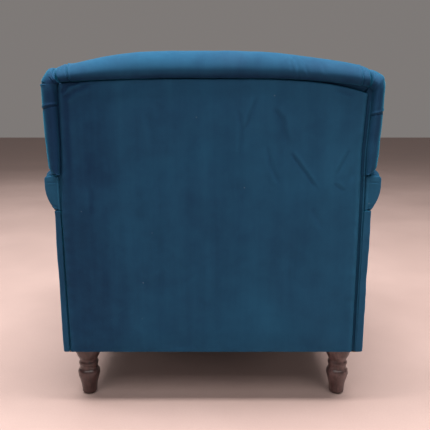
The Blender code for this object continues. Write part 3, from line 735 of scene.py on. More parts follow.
def rim_tucks(along, across):
    """The tucks and drags round the roll. along runs from the middle of its top, across from its seam."""
    # path, width, depth; a path that runs outwards has its lip towards -along
    height = folds(along, across, (
        ([(0.362, 0.000), (0.364, 0.102)], 0.0024, 0.0036),
        ([(0.380, 0.045), (0.372, 0.088)], 0.0024, 0.0018),
        ([(0.396, 0.002), (0.404, 0.030), (0.398, 0.060)], 0.0024, 0.0022),
        ([(0.424, 0.000), (0.420, 0.045)], 0.0026, 0.0022),
        ([(0.453, 0.090), (0.449, 0.040)], 0.0024, 0.0036),
        ([(0.508, -0.004), (0.518, 0.086)], 0.0028, 0.0034),
        ([(-0.369, 0.106), (-0.370, 0.000)], 0.0024, 0.0036),
        ([(-0.386, 0.070), (-0.392, 0.000)], 0.0026, 0.0018),
        ([(-0.520, 0.090), (-0.531, 0.004)], 0.0028, 0.0030),
        ([(-0.196, 0.085), (-0.204, 0.050), (-0.214, -0.002)], 0.0040, 0.0022),
        ([(-0.216, 0.085), (-0.222, 0.055), (-0.236, 0.020)], 0.0038, 0.0017),
        ([(-0.182, 0.080), (-0.190, 0.048), (-0.198, 0.020)], 0.0036, 0.0010),
        ([(-0.262, 0.070), (-0.276, 0.030)], 0.0050, 0.0010),
        ([(0.300, 0.060), (0.318, 0.010)], 0.0060, 0.0010),
    ))
    for rise, place, width, seam_distance, reach in (  # the fullness between the tucks
        (0.0036, 0.410, 0.011, 0.085, 0.028), (0.0026, -0.434, 0.008, 0.078, 0.030),
        (0.0040, 0.372, 0.022, 0.085, 0.035), (-0.0050, -0.405, 0.019, 0.080, 0.036),
    ):
        height += rise * bell(along, place, width) * bell(across, seam_distance, reach)
    return height


def make_back():
    rows, outer, edge_row, seam_row = back_rows()
    # behind the wing the rim's lower edge lifts clear of the arm's rear end
    x, y, z = np.moveaxis(np.abs(rows[edge_row:]), 2, 0)
    lift = smooth(y, 0.33, 0.40) * (1 - smooth(z, 0.645, 0.70)) * (z > 0.60)
    rows[edge_row:, :, 2] += lift * smooth(x, 0.380, 0.394) * (0.006 + 0.007 * smooth(x, 0.395, 0.425))
    centre_z = BACK_CENTRE[1]
    poles = ((0.0, inside_back_y(centre_z) - float(back_crown(0.0, centre_z)), centre_z),
             (0.0, back_y(centre_z) - POCKET_DEPTH, centre_z))
    piece = skin("back_cover", rows, velvet, poles)
    # lengths along the outline, from the middle of the top, and across it, from the seam
    steps = np.linalg.norm(np.roll(outer, -1, axis=0) - outer, axis=1)
    along = np.concatenate([[0.0], np.cumsum(steps)[:-1]])
    along = along[sum(COUNTS.values())] - along
    gaps = np.linalg.norm(np.diff(rows, axis=0), axis=2)
    across = np.zeros(rows.shape[:2])
    for row in range(seam_row - 1, -1, -1):
        across[row] = across[row + 1] + gaps[row]
    across[seam_row:] = -0.02
    height = np.zeros(across.shape)
    zone = slice(edge_row - 12, seam_row + 1)
    height[zone] = rim_tucks(np.broadcast_to(along, across.shape)[zone], across[zone])
    height = np.concatenate([height.ravel(), [0.0, 0.0]])
    points = positions(piece)
    x, y, z = points.T
    outside = np.concatenate([(across >= 0).ravel(), [True, False]]) & (z > 0.45)
    height += outside * (0.0005 * ripple(points, 0.24, 3) + 0.00022 * ripple(points, 0.05, 4))
    # the fabric of the front drags towards the arms
    front = (normals(piece)[:, 1] < -0.5) & outside
    for sign in (1, -1):
        for rise in (0.0, 0.045, 0.085):
            path = [(sign * 0.26, 0.575 + rise), (sign * 0.13, 0.60 + 1.5 * rise)]
            height += front * fold(x, z, path, 0.010, 0.0009, 0.5)
    raise_points(piece, height)
    # painted highlight on top of the roll, where the light from above falls, and painted shade beside the
    # seam under the roll's bulge; darker at the wings
    above_seam = z - np.where(x > 0, panel_top_z(x, 1), panel_top_z(x, -1))
    light = 0.34 * smooth(above_seam, 0.009, 0.030) * smooth(z, 0.875, 0.895)
    light -= 0.50 * (1 - smooth(above_seam, 0.002, 0.014)) * (z > 0.868)
    wing = np.where(x > 0, 0.46, 0.30 - 0.36 * (1 - smooth(-x, 0.398, 0.416)))
    light -= wing * (1 - smooth(z, 0.84, 0.87))
    paint_lay_and_light(piece, smooth(y, 0.34, 0.40) * light)
    finish_piece(piece, ("inside_back_pad",))


def outside_back_point(u, v, sign_of_u):
    """(x, z) on the outside back, from shares of its width and height."""
    z = COVER_FOOT_Z + v * (SEAM_SHOULDER_Z - LEG_HEIGHT)
    for _ in range(3):
        x = u * panel_edge_x(z, sign_of_u)
        z = COVER_FOOT_Z + v * (panel_top_z(x, sign_of_u) - COVER_FOOT_Z)
    return x, z


def panel_light(x, z, from_side):
    """How light the outside back's velvet is painted: broad tones from the pile's lay and from painted light
    falling from the -X side, a painted highlight along each side seam, a line of painted shade inside the +X
    seam, a lighter band under the top seam, and upright bands.
    """
    # broad tones: the pile's lay, and painted light falling from the -X side, darker towards +X
    light = 0.15 + 0.24 * smooth(-x, -0.02, 0.30)
    light -= 0.12 * smooth(x, 0.10, 0.34) * smooth(z, 0.50, 0.70)
    # painted shade towards the +X side, and a line of painted shade inside the +X seam
    light -= 0.26 * smooth(x, 0.20, 0.34) + 0.34 * bell(x, 0.363, 0.007) * smooth(z, 0.58, 0.68)
    light += 0.34 * bell(x, -0.335, 0.040) * bell(z, 0.670, 0.070)
    light += 0.12 * bell(x, -0.05, 0.10) * bell(z, 0.85, 0.022)
    # painted highlight along each side seam, where the panel's edge turns to the light
    light += np.where(x > 0, 0.14, 0.32) * bell(from_side, 0.0065, 0.0045)
    for band_x, width in ((0.227, 0.020), (0.098, 0.012), (0.021, 0.014), (-0.121, 0.020), (-0.300, 0.016)):
        light += 0.11 * bell(x, band_x + 0.04 * (z - 0.6), width)
    return light


def spaced(length, fine, coarse, edge):
    """Positions along a length that are closer together near both ends."""
    ends = np.linspace(0, edge, round(edge / fine), endpoint=False)
    middle = np.linspace(edge, length - edge, round((length - 2 * edge) / coarse))
    return np.concatenate([ends, middle, length - ends[::-1]])


def make_outside_back():
    u = spaced(2 * PANEL_HALF, 0.0011, 0.0031, 0.012) / PANEL_HALF - 1
    v = spaced(PANEL_HIGH, 0.0012, 0.0034, 0.012) / PANEL_HIGH
    x, z = np.zeros((2, len(v), len(u)))
    for column, share in enumerate(u):
        sign = 1 if share >= 0 else -1
        column_x, z[:, column] = outside_back_point(abs(share), v, sign)
        x[:, column] = sign * column_x
    side = (1 - np.abs(u))[None, :] * PANEL_HALF + 0 * x
    top, bottom = (1 - v)[:, None] * PANEL_HIGH + 0 * x, v[:, None] * PANEL_HIGH + 0 * x
    nearest = np.minimum(side, np.minimum(1.8 * top, bottom))
    # the panel is pulled tight at its seams and swells between them
    height = 0.0030 * np.sqrt(smooth(side, 0, 0.10) * smooth(top, 0, 0.09) * smooth(bottom, 0, 0.07))
    height -= round_over(nearest, 0.0062)
    drags = 1.35 * folds(x, z, (  # path, width, depth
        ([(-0.061, 0.813), (-0.074, 0.756), (-0.068, 0.681)], 0.0052, 0.00095),
        ([(-0.112, 0.842), (-0.080, 0.752)], 0.0050, 0.00085),
        ([(-0.190, 0.710), (-0.173, 0.781), (-0.147, 0.813)], 0.0075, 0.00100),
        ([(-0.270, 0.600), (-0.228, 0.658), (-0.192, 0.706)], 0.0042, 0.00130),
        ([(-0.134, 0.722), (-0.150, 0.660), (-0.171, 0.615)], 0.0060, 0.00090),
        ([(-0.348, 0.712), (-0.314, 0.640)], 0.0042, 0.00095),
        ([(-0.338, 0.600), (-0.308, 0.620)], 0.0050, 0.00090),
        ([(0.309, 0.615), (0.314, 0.535)], 0.0060, 0.00070),
        ([(0.377, 0.842), (0.356, 0.864), (0.318, 0.8755)], 0.0042, 0.00260),
        ([(0.372, 0.826), (0.340, 0.852), (0.292, 0.868)], 0.0060, 0.00120),
        ([(-0.300, 0.852), (-0.352, 0.838)], 0.0060, 0.00080),
        ([(-0.250, 0.560), (-0.290, 0.500)], 0.0080, 0.00050),
        ([(0.160, 0.800), (0.140, 0.700)], 0.0100, 0.00045),
    ))
    # the folds are painted as well: painted shade in their grooves, painted highlight on their lips
    light = panel_light(x, z, side) + 150 * drags
    height += drags
    height -= 0.0022 * bell(x, -0.352, 0.0065) * bell(z, 0.642, 0.016)
    height += 0.0012 * bell(x, -0.362, 0.010) * bell(z, 0.640, 0.030)
    flat = np.column_stack([x.ravel(), 0 * x.ravel(), z.ravel()])
    soft = 0.00055 * ripple(flat, 0.17, 11) + 0.00022 * ripple(flat * (1, 1, 0.3), 0.045, 12)
    pucker = 0.00035 * ripple(flat, 0.022, 13) * bell(nearest, 0.007, 0.010).ravel()
    height += (smooth(nearest, 0.0, 0.02).ravel() * soft + pucker).reshape(height.shape)
    outer = np.stack([x, back_y(z) + height, z], axis=2)
    inner = np.stack([x, back_y(z) - 0.0102, z], axis=2)
    # the flat side against the frame needs no detail, so one face closes it
    border = grid_border(*x.shape)
    ring = [*range(x.size, x.size + len(border))]
    faces = quads(*x.shape, False) + band(border, ring) + [tuple(reversed(ring))]
    points = np.concatenate([outer.reshape(-1, 3), inner.reshape(-1, 3)[border]])
    piece = add_mesh("outside_back", points, faces, velvet)
    paint_lay_and_light(piece, np.concatenate([light.ravel(), np.zeros(len(border))]))
    finish_piece(piece, ("outside_back_panel",))


# --- The arms --------------------------------------------------------------------------------------

ROLL_HALF = 0.4335  # half width over the arm rolls
CROWN_RADIUS = 0.014
CROWN_RISE = 0.0045
FLANK_Z = 0.612
PANEL_X = 0.4120  # outer face of the outside arm
ARM_REAR_Y = 0.400
POST_REAR_NOTCH_Y = 0.3370
POST_CLEAR_X = 0.3985


def roll_edge(count, grow=0.0):
    """The outer half of the arm roll's outline: its crown, a short flank and the slope in to the tuck."""
    crown_z = ARM_TOP + CROWN_RISE - CROWN_RADIUS
    crown_x = ROLL_HALF - CROWN_RADIUS
    slope = np.linspace(0, 1, max(6, round(26 * count)), endpoint=False)
    return np.concatenate([
        arc(crown_x, crown_z, CROWN_RADIUS + grow, CROWN_RADIUS + grow, 90, 0, max(5, round(12 * count))),
        line((ROLL_HALF + grow, crown_z), (ROLL_HALF + grow, FLANK_Z), 4),
        np.column_stack([PANEL_X + (ROLL_HALF + grow - PANEL_X) * (1 - slope**2),
                         FLANK_Z + (ROLL_TUCK_Z + 0.001 - FLANK_Z) * slope]),
        [(PANEL_X, ROLL_TUCK_Z + 0.001)],
    ])


def arm_contour(count=1.0):
    """The arm's (x, z) outline, from its foot on the seat side over the roll to the tuck on the outside."""
    n = [max(3, round(k * count)) for k in (54, 26, 16)]
    top_x = np.linspace(SEAT_HALF + INNER_CORNER, ROLL_HALF - CROWN_RADIUS, n[2], endpoint=False)
    return np.concatenate([
        line((SEAT_HALF, INSIDE_BACK_Z), (SEAT_HALF, ARM_TOP - INNER_CORNER), n[0]),
        arc(SEAT_HALF + INNER_CORNER, ARM_TOP - INNER_CORNER, INNER_CORNER, INNER_CORNER, 180, 90, n[1]),
        np.column_stack([top_x, ARM_TOP + CROWN_RISE * smooth(top_x, 0.396, 0.426)]),
        roll_edge(count),
    ])


def make_arm(side, sign):
    contour = arm_contour()
    hollow = np.array([(0.4045, ROLL_TUCK_Z + 0.0005), (0.404, 0.5985), (0.3225, 0.5985), (0.3225, 0.45),
                       (0.3225, INSIDE_BACK_Z)])
    ring = np.concatenate([contour, hollow])
    ys = np.concatenate([np.linspace(ARM_FRONT_Y, POST_REAR_NOTCH_Y, 110),
                         np.linspace(POST_REAR_NOTCH_Y + 0.001, ARM_REAR_Y, 14)])
    rows = []
    for y in ys:
        loop = ring.copy()
        if y > POST_REAR_NOTCH_Y:
            loop[:, 0] = np.maximum(loop[:, 0], POST_CLEAR_X)
        rows.append(raised(loop, y, sign))
    piece = skin(f"arm_{side}", rows, velvet)
    points = positions(piece)
    x, y, z = np.abs(points[:, 0]), points[:, 1], points[:, 2]
    height = 0.0007 * ripple(points, 0.13, 20 + sign) + 0.00025 * ripple(points, 0.04, 22 + sign)
    # the roll swells between its ends, but not under the wing; the top sinks where a forearm rests
    on_top = smooth(z, ARM_TOP - 0.03, ARM_TOP)
    clear = np.maximum(1 - smooth(y, 0.17, 0.24), smooth(x, 0.4155, 0.4235))
    swell = smooth(y, ARM_FRONT_Y, -0.35) * (1 - smooth(y, 0.365, ARM_REAR_Y)) * clear
    height += on_top * (0.0085 * swell - 0.0022 * bell(y, -0.14, 0.17))
    gone = np.cumsum(np.r_[0, np.linalg.norm(np.diff(contour, axis=0), axis=1)])
    around = np.tile(np.concatenate([gone, np.zeros(len(hollow))]), len(ys))
    rear = [([(ARM_REAR_Y - 0.075, start), (ARM_REAR_Y + 0.004, start + drop)], 0.0045, 0.0013)
            for start, drop in ((0.420, 0.016), (0.455, 0.010), (0.385, -0.008), (0.490, 0.006))]
    front = [([(ARM_FRONT_Y - 0.004, start), (ARM_FRONT_Y + 0.085, start + drop)], 0.0050, 0.0010)
             for start, drop in ((0.375, 0.010), (0.440, -0.006))]
    height += folds(y, around, rear + front)
    height *= smooth(around, 0.02, 0.10)
    raise_points(piece, np.where(np.tile(np.arange(len(ring)) < len(contour), len(ys)), height, 0.0))
    finish_piece(piece, (f"inside_arm_pad_{side}",))


def make_arm_end(side, sign):
    """The cap sewn over the rear end of the roll. It laps onto the back post beside it."""
    inner_x = 0.3950 if sign > 0 else 0.3932
    bottom, top, grow, corner = ROLL_TUCK_Z + 0.0014, ARM_TOP + 0.0008, 0.0008, 0.009
    zs = bottom + spaced(top - bottom, 0.0006, 0.0020, 0.006)
    fall = np.clip((FLANK_Z - zs) / (FLANK_Z - ROLL_TUCK_Z - 0.001), 0, 1)
    rim = PANEL_X + (ROLL_HALF + grow - PANEL_X) * (1 - fall**2) - round_over(top - zs, corner)
    share = spaced(0.040, 0.0006, 0.0016, 0.006) / 0.040
    x = inner_x + share[None, :] * (rim[:, None] - inner_x)
    z = np.broadcast_to(zs[:, None], x.shape)
    nearest = np.minimum(np.minimum(x - inner_x, rim[:, None] - x), np.minimum(z - bottom, top - z))
    over_post = 1 - smooth(x, 0.3972, 0.4030)
    base = (ARM_REAR_Y - 0.001) * (1 - over_post) + (back_y(z) - 0.0108) * over_post
    height = 0.0016 * smooth(nearest, 0.0, 0.016) - round_over(nearest, 0.0040)
    creases = folds(x, z, (([(0.4325, 0.6205), (0.3940, 0.6235)], 0.0016, 0.0013),
                           ([(0.4270, 0.5640), (0.3940, 0.5545)], 0.0022, 0.0012)))
    rear = ARM_REAR_Y + 0.0105 + (z - ROLL_TUCK_Z) * BACK_LEAN + 0.0055 * over_post + height + creases
    outer, inner = np.stack([sign * x, rear, z], axis=2), np.stack([sign * x, base, z], axis=2)
    piece = slab(f"arm_end_{side}", outer, inner, velvet)
    # the cap is lighter all over; its creases carry painted shade in their grooves and painted highlight on
    # their lips
    paint_lay_and_light(piece, np.tile(((0.75 if sign > 0 else 0.90) + 120 * creases).ravel(), 2))
    finish_piece(piece)


def make_outside_arm(side, sign):
    """The flat side cover, which turns the rear corner and ends at the back's side seam."""
    turn_radius, thickness, edge = 0.0085, 0.0072, 0.0026
    front, inner_x = ARM_FRONT_Y + 0.0005, 0.4030
    top = ROLL_TUCK_Z + 0.0012
    heights = COVER_FOOT_Z + spaced(top - COVER_FOOT_Z, 0.0010, 0.0060, 0.006)
    strip_x = 0.3955 if sign > 0 else 0.3925
    along = spaced(0.80, 0.0012, 0.0062, 0.006)[:-1] / 0.80
    turn = np.radians(np.linspace(0, 90, 9))
    path_x = np.concatenate([np.full(len(along), PANEL_X), PANEL_X - turn_radius * (1 - np.cos(turn)),
                             np.linspace(PANEL_X - turn_radius, strip_x, 8)[1:]])
    in_x = np.concatenate([np.full(len(along) + len(turn), inner_x), np.linspace(inner_x, strip_x, 8)[1:]])
    outer, inner = [], []
    for z in heights:
        rear = back_y(z) - 0.0030
        corner_y = rear - turn_radius
        path_y = np.concatenate([front + along * (corner_y - front), corner_y + turn_radius * np.sin(turn),
                                 np.full(7, rear)])
        level = np.full(len(path_x), z)
        outer.append(np.column_stack([sign * path_x, path_y, level]))
        inner.append(np.column_stack([sign * in_x, np.minimum(path_y, rear - thickness), level]))
    piece = slab(f"outside_arm_{side}", np.asarray(outer), np.asarray(inner), velvet)
    points = positions(piece)
    y, z = points[:, 1], points[:, 2]
    from_edge = np.minimum(z - COVER_FOOT_Z, np.minimum(top - z, y - ARM_FRONT_Y))
    from_edge = np.maximum(from_edge, 0)
    flank = np.abs(normals(piece)[:, 0]) > 0.9
    height = flank * 0.0026 * smooth(from_edge, 0, 0.09) * smooth(y, 0.39, 0.28) - round_over(from_edge, edge)
    height += smooth(from_edge, 0, 0.02) * (0.0006 * ripple(points, 0.16, 30 + sign)
                                            + 0.0002 * ripple(points, 0.04, 32 + sign))
    height += flank * folds(y, z, [(path, 0.0070, 0.0009) for path in (
        [(0.36, 0.50), (0.22, 0.40)], [(0.34, 0.24), (0.20, 0.30)], [(-0.39, 0.49), (-0.25, 0.43)])])
    raise_points(piece, np.where(np.arange(len(points)) < len(points) // 2, height, 0.0))
    finish_piece(piece, (f"outside_arm_panel_{side}",))
    paint_lay_and_light(piece, (0.22 if sign > 0 else 0.58) * smooth(y, 0.38, 0.40))


def make_back_laps(side, sign):
    """What shows in the gaps beside the back: velvet over the back post, and an edge under the seam."""
    if sign < 0:  # on this side the seam gapes, and the folded edge under it shows as a thin ridge
        seam_z = np.linspace(LEG_HEIGHT + 0.004, 0.838, 170)
        wander = 0.0005 * ripple(np.column_stack([0 * seam_z, 0 * seam_z, seam_z]), 0.12, 40)
        ridge_x = panel_edge_x(seam_z, sign) + 0.0098 + wander
        ridge_y = back_y(seam_z) - 0.0052 - 0.006 * smooth(seam_z, 0.80, 0.838)
        path = np.column_stack([sign * ridge_x, ridge_y, seam_z])
        ridge = tube(f"back_seam_{side}", path, 0.0018, velvet, sides=8)
        # painted lighter, as a highlight along the ridge
        paint_lay_and_light(ridge, 0.55)
        finish_piece(ridge)
    # under the seam the velvet carries on over the back post
    xs, zs = np.meshgrid(np.linspace(0.372, 0.3990, 10), np.linspace(LEG_HEIGHT + 0.002, 0.660, 110))
    lap = np.stack([sign * xs, back_y(zs) - 0.0111, zs], axis=2)
    under = slab(f"back_underlap_{side}", lap, lap - (0, 0.0007, 0), velvet)
    paint_lay_and_light(under, 0.30)
    finish_piece(under)
    # and over the post's flank, which shows in the gap between the wing and the arm
    shares, zs = np.meshgrid(np.linspace(0, 1, 16), np.linspace(ARM_TOP - 0.030, ARM_TOP + 0.0085, 12))
    front = POST_REAR_NOTCH_Y + 0.002
    lap_y = front + shares * (back_y(zs) - 0.0115 - front)
    lap = np.stack([np.full_like(zs, sign * POST_CLEAR_X), lap_y, zs], axis=2)
    finish_piece(slab(f"post_lap_{side}", lap, lap - (sign * 0.0006, 0, 0), velvet))


def make_facing(side, sign):
    """The flat front of the arm, edged with piping."""
    foot_z, inner_x = LEG_HEIGHT + 0.001, SEAT_HALF + 0.0005
    outline = inset_loop(np.concatenate([
        line((inner_x, foot_z), (inner_x, INSIDE_BACK_Z), 28),
        arm_contour(0.9),
        line((PANEL_X, ROLL_TUCK_Z - 0.004), (PANEL_X, foot_z), 70),
        line((PANEL_X, foot_z), (inner_x, foot_z), 20),
    ]), 0.0012)

    def lay(flat, height):
        return raised(flat, ARM_FRONT_Y - 0.0006 - height, sign)

    centre = np.array([0.357, 0.560])
    piece = plate(f"arm_front_{side}", outline, centre, lay, 0.0125, 0.0050, 0.0022, velvet)
    facing_front = normals(piece)[:, 1] < -0.5
    raise_points(piece, facing_front * 0.0004 * ripple(positions(piece), 0.05, 50 + sign))
    finish_piece(piece, (f"arm_facing_{side}",))
    path = cut_corners(lay(inset_loop(outline, -0.0002), 0.0072))
    finish_piece(tube(f"arm_piping_{side}", path, 0.0036, velvet, closed=True))


# --- The seat --------------------------------------------------------------------------------------


def rounded_box(name, low, high, radius, spacing, surface):
    """A box with round edges, evenly meshed."""
    low, high = np.asarray(low, float), np.asarray(high, float)
    counts = [max(4, round(s)) for s in (high - low) / spacing]
    lookup, points, faces = {}, [], []

    def index(cell):
        if cell not in lookup:
            lookup[cell] = len(points)
            p = low + (high - low) * np.array(cell) / counts
            core = np.clip(p, low + radius, high - radius)
            out = p - core
            length = np.linalg.norm(out)
            points.append(core + out / length * radius if length > 1e-9 else p)
        return lookup[cell]

    for axis in range(3):
        a, b = [k for k in range(3) if k != axis]
        for end in (0, counts[axis]):
            for i in range(counts[a]):
                for j in range(counts[b]):
                    corners = []
                    for di, dj in ((0, 0), (1, 0), (1, 1), (0, 1)):
                        cell = [0, 0, 0]
                        cell[axis], cell[a], cell[b] = end, i + di, j + dj
                        corners.append(index(tuple(cell)))
                    faces.append(tuple(corners))
    return add_mesh(name, points, faces, surface)


def inflate(piece, voxel, pressure, cap, frames=20):
    """Remeshes a shape and lets cloth pressure round it, each point moving at most cap."""
    apply_modifier(piece, "REMESH", mode="VOXEL", voxel_size=voxel)
    before = positions(piece)
    cloth = piece.modifiers.new("cloth", "CLOTH")
    cloth.settings.use_pressure = True
    cloth.settings.uniform_pressure_force = pressure
    cloth.settings.mass = 0.3
    cloth.settings.tension_stiffness = 14
    cloth.settings.compression_stiffness = 14
    cloth.settings.shear_stiffness = 6
    cloth.settings.bending_stiffness = 0.4
    cloth.settings.effector_weights.gravity = 0.0
    cloth.point_cache.frame_start, cloth.point_cache.frame_end = 1, frames
    scene = bpy.context.scene
    for step in range(1, frames + 1):
        scene.frame_set(step)
    evaluated = piece.evaluated_get(bpy.context.evaluated_depsgraph_get())
    mesh = evaluated.to_mesh()
    after = np.empty(len(mesh.vertices) * 3)
    mesh.vertices.foreach_get("co", after)
    evaluated.to_mesh_clear()
    piece.modifiers.remove(cloth)
    scene.frame_set(1)
    move = after.reshape(-1, 3) - before
    length = np.maximum(np.linalg.norm(move, axis=1), 1e-9)
    place_points(piece, before + move * np.minimum(1.0, cap / length)[:, None])


def corner_gathers(low, high):
    """Three short folds at each corner of the cushion's upper face."""
    table = []
    for corner_x, side in ((low.x, 1), (high.x, -1)):
        for corner_y, inwards in ((low.y, 1), (high.y, -1)):
            for turn in (0.35, 0.8, 1.25):
                reach = np.array([side * math.cos(turn), inwards * math.sin(turn)]) * 0.085
                start = np.array([corner_x, corner_y])
                table.append(([start + reach * 0.12, start + reach], 0.0055, 0.0018))
    return table


def make_cushion():
    """The loose seat cushion with its piping. Returns the Y of its rear border."""
    low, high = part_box("cushion_cover")
    top = high.z - 0.012  # before it is crowned
    corner = (high.x - 0.004, high.y - 0.006, top)
    cushion = rounded_box("seat_cushion", low + Vector((0.004, 0.006, 0.004)), corner, 0.022, 0.012, velvet)
    inflate(cushion, 0.0058, 3.6, 0.013)
    apply_modifier(cushion, "SMOOTH", factor=0.5, iterations=6)
    points = positions(cushion)
    x, y, z = points.T
    u = np.clip(x / ((high.x - low.x) / 2), -1, 1)
    w = np.clip((y - (low.y + high.y) / 2) / ((high.y - low.y) / 2), -1, 1)
    crown = 0.013 * np.sqrt(np.clip((1 - u**2) * (1 - w**2), 0, 1))
    dent = 0.0065 * bell(x, 0.02, 0.13) * bell(y, -0.06, 0.15)
    z += smooth(z, 0.44, top) * (crown - dent)
    # the sides pull in between the corners
    pull = 0.0045 * (1 - np.abs(z - 0.408) / 0.09).clip(0, 1)
    y += pull * np.sign(-w) * smooth(np.abs(w), 0.9, 1.0) * bell(u, 0, 0.8)
    z[:] = np.maximum(z, low.z)
    x[:] = np.clip(x, low.x - 0.0008, high.x + 0.0008)
    y[:] = np.clip(y, low.y - 0.006, high.y + 0.001)
    place_points(cushion, points)
    apply_modifier(cushion, "SUBSURF", levels=1, render_levels=1)
    cushion.data.shade_smooth()
    paths = {"top": cushion_seam(cushion, low, high, top - 0.010),
             "bottom": cushion_seam(cushion, low, high, low.z + 0.013)}
    points = positions(cushion)
    x, y, z = points.T
    at_seam = sum(seam_pull(points, path) for path in paths.values())
    height = (0.0010 * ripple(points, 0.10, 60) + 0.0004 * ripple(points, 0.03, 61)) * (1 - at_seam)
    height -= 0.0022 * at_seam
    height += smooth(z, top - 0.012, top - 0.004) * folds(x, y, corner_gathers(low, high))
    height *= smooth(z, low.z + 0.0005, low.z + 0.012)
    raise_points(cushion, height)
    finish_piece(cushion, ("cushion_cover", "cushion_core"), body="cushion")
    for name, path in paths.items():
        finish_piece(tube(f"cushion_piping_{name}", path, 0.0036, velvet, closed=True), body="cushion")
    return high.y


def cushion_seam(cushion, low, high, z):
    """The closed line that a piped seam follows round the cushion's border, laid on its skin."""
    tree = BVHTree.FromObject(cushion, bpy.context.evaluated_depsgraph_get())
    radius = 0.030
    corners = []
    for cx, cy, start in ((high.x - radius, low.y + radius, -90), (high.x - radius, high.y - radius, 0),
                          (low.x + radius, high.y - radius, 90), (low.x + radius, low.y + radius, 180)):
        end = math.radians(start + 90)
        corners += arc(cx, cy, radius, radius, start, start + 90, 8).tolist()
        corners.append([cx + radius * math.cos(end), cy + radius * math.sin(end)])
    path = []
    for x, y in even_loop(corners, 0.006):
        place, normal, _, _ = tree.find_nearest(Vector((x, y, z)))
        path.append(place + normal * 0.0003)
    path = np.array(path)
    path[:, 2] = z + 0.6 * (path[:, 2] - z)
    path = 0.25 * np.roll(path, 1, axis=0) + 0.5 * path + 0.25 * np.roll(path, -1, axis=0)
    path[:, 0] = np.clip(path[:, 0], low.x + 0.0030, high.x - 0.0030)
    return path


def seam_pull(points, path):
    """How much of a seam's full depth the cover is drawn in at each point, from 0 to 1."""
    tree = KDTree(len(path))
    for i, p in enumerate(path):
        tree.insert(p, i)
    tree.balance()
    near = np.abs(points[:, 2] - path[:, 2].mean()) < 0.03
    pull = np.zeros(len(points))
    for i in np.nonzero(near)[0]:
        pull[i] = math.exp(-((tree.find(points[i])[2] / 0.0065) ** 2))
    return pull


def make_zip(rear_y):
    """The zip along the cushion's rear border: tape, teeth, and the slider with its tab."""
    low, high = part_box("zip_slider")
    z, reach = high.z - 0.0044, high.x + 0.004
    xs, zs = np.meshgrid(np.linspace(-reach, reach, 120), z + np.linspace(-0.011, 0.011, 7))
    outer = np.stack([xs, np.full_like(xs, rear_y + 0.0006), zs], axis=2)
    finish_piece(slab("zip_tape", outer, outer - (0, 0.0016, 0), lining), body="cushion", slot="lining")
    teeth = [((x, rear_y + 0.0012, z + (0.0008 if i % 2 else -0.0008)), (0.0009, 0.0007, 0.0022))
             for i, x in enumerate(np.arange(-reach + 0.006, low.x - 0.001, 0.0026))]
    finish_piece(little_boxes("zip_teeth", teeth, nylon, taper=0.5), body="cushion", slot="nylon")
    body = rounded_box("zip_pull", (low.x, rear_y + 0.0021, z - 0.0040),
                       (high.x, high.y + 0.0008, z + 0.0040), 0.0005, 0.0005, steel)
    finish_piece(body, ("zip_slider",), body="zip", slot="steel")
    middle, half = (low.x + high.x) / 2, 0.0024
    tab = rounded_box("zip_tab", (middle - half, high.y + 0.0002, low.z),
                      (middle + half, high.y + 0.0017, z + 0.001), 0.0007, 0.0007, steel)
    finish_piece(tab, body="zip", slot="steel")


def make_deck_and_border():
    low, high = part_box("deck_pad")
    seam_y = low.y + 0.110
    for name, start, end, surface, slot in (("seat_deck", seam_y, high.y, lining, "lining"),
                                            ("deck_lip", low.y, seam_y, velvet, "velvet")):
        deck = rounded_box(name, (low.x, start, low.z), (high.x, end, high.z), 0.009, 0.0075, surface)
        raise_points(deck, 0.0005 * ripple(positions(deck), 0.06, 70) - 0.0006)
        finish_piece(deck, ("deck_pad",), slot=slot)
    low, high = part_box("front_border")
    corners = [(low.x, low.z + 0.001), (high.x, low.z + 0.001), (high.x, high.z), (low.x, high.z)]
    outline, centre = even_loop(corners, 0.006), np.array([0.0, (low.z + high.z) / 2])
    border = plate("front_border_cover", outline, centre, lambda flat, height: raised(flat, high.y - height),
                   0.0110, 0.0045, 0.0022, velvet)
    points = positions(border)
    facing_front = normals(border)[:, 1] < -0.5
    soft = 0.0005 * ripple(points, 0.07, 71) + 0.0002 * ripple(points, 0.02, 72)
    raise_points(border, facing_front * soft)
    finish_piece(border, ("front_border",))
    path = [(x, low.y + 0.0015, high.z + 0.0012) for x in np.linspace(low.x + 0.002, high.x - 0.002, 110)]
    finish_piece(tube("border_piping", path, 0.0034, velvet))


# --- Under the seat --------------------------------------------------------------------------------


def make_dust_cover():
    low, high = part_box("dust_cover")
    x, y = np.meshgrid(np.linspace(low.x, high.x, 133), np.linspace(low.y, high.y, 137))
    flat = np.column_stack([x.ravel(), y.ravel(), 0 * x.ravel()])
    edge = np.minimum(high.x - np.abs(x), np.minimum(y - low.y, high.y - y))
    loose = smooth(edge, 0.01, 0.08)
    wrinkle = loose.ravel() * (0.0011 * ripple(flat, 0.16, 80) + 0.0004 * ripple(flat, 0.05, 81))
    pulls = 0.0007 * (1 - loose) * np.cos(2 * math.pi * (x + y) / 0.055)
    sag = 0.0100 * smooth(edge, 0.0, 0.30) + np.abs(wrinkle.reshape(x.shape)) + np.abs(pulls)
    outer = np.stack([x, y, low.z + 0.0002 - sag], axis=2)
    piece = slab("dust_cover_cloth", outer, outer + (0, 0, 0.0008), lining)
    finish_piece(piece, ("dust_cover",), slot="lining")
    inset, long, short, thick = 0.006, 0.0052, 0.0006, 0.00025
    staples = [((x, y, low.z - 0.0006), (long, short, thick)) for y in (low.y + inset, high.y - inset)
               for x in np.linspace(low.x + 0.03, high.x - 0.03, 18)]
    staples += [((x, y, low.z - 0.0006), (short, long, thick)) for x in (low.x + inset, high.x - inset)
                for y in np.linspace(low.y + 0.10, high.y - 0.10, 15)]
    finish_piece(little_boxes("cover_staples", staples, steel), slot="steel")


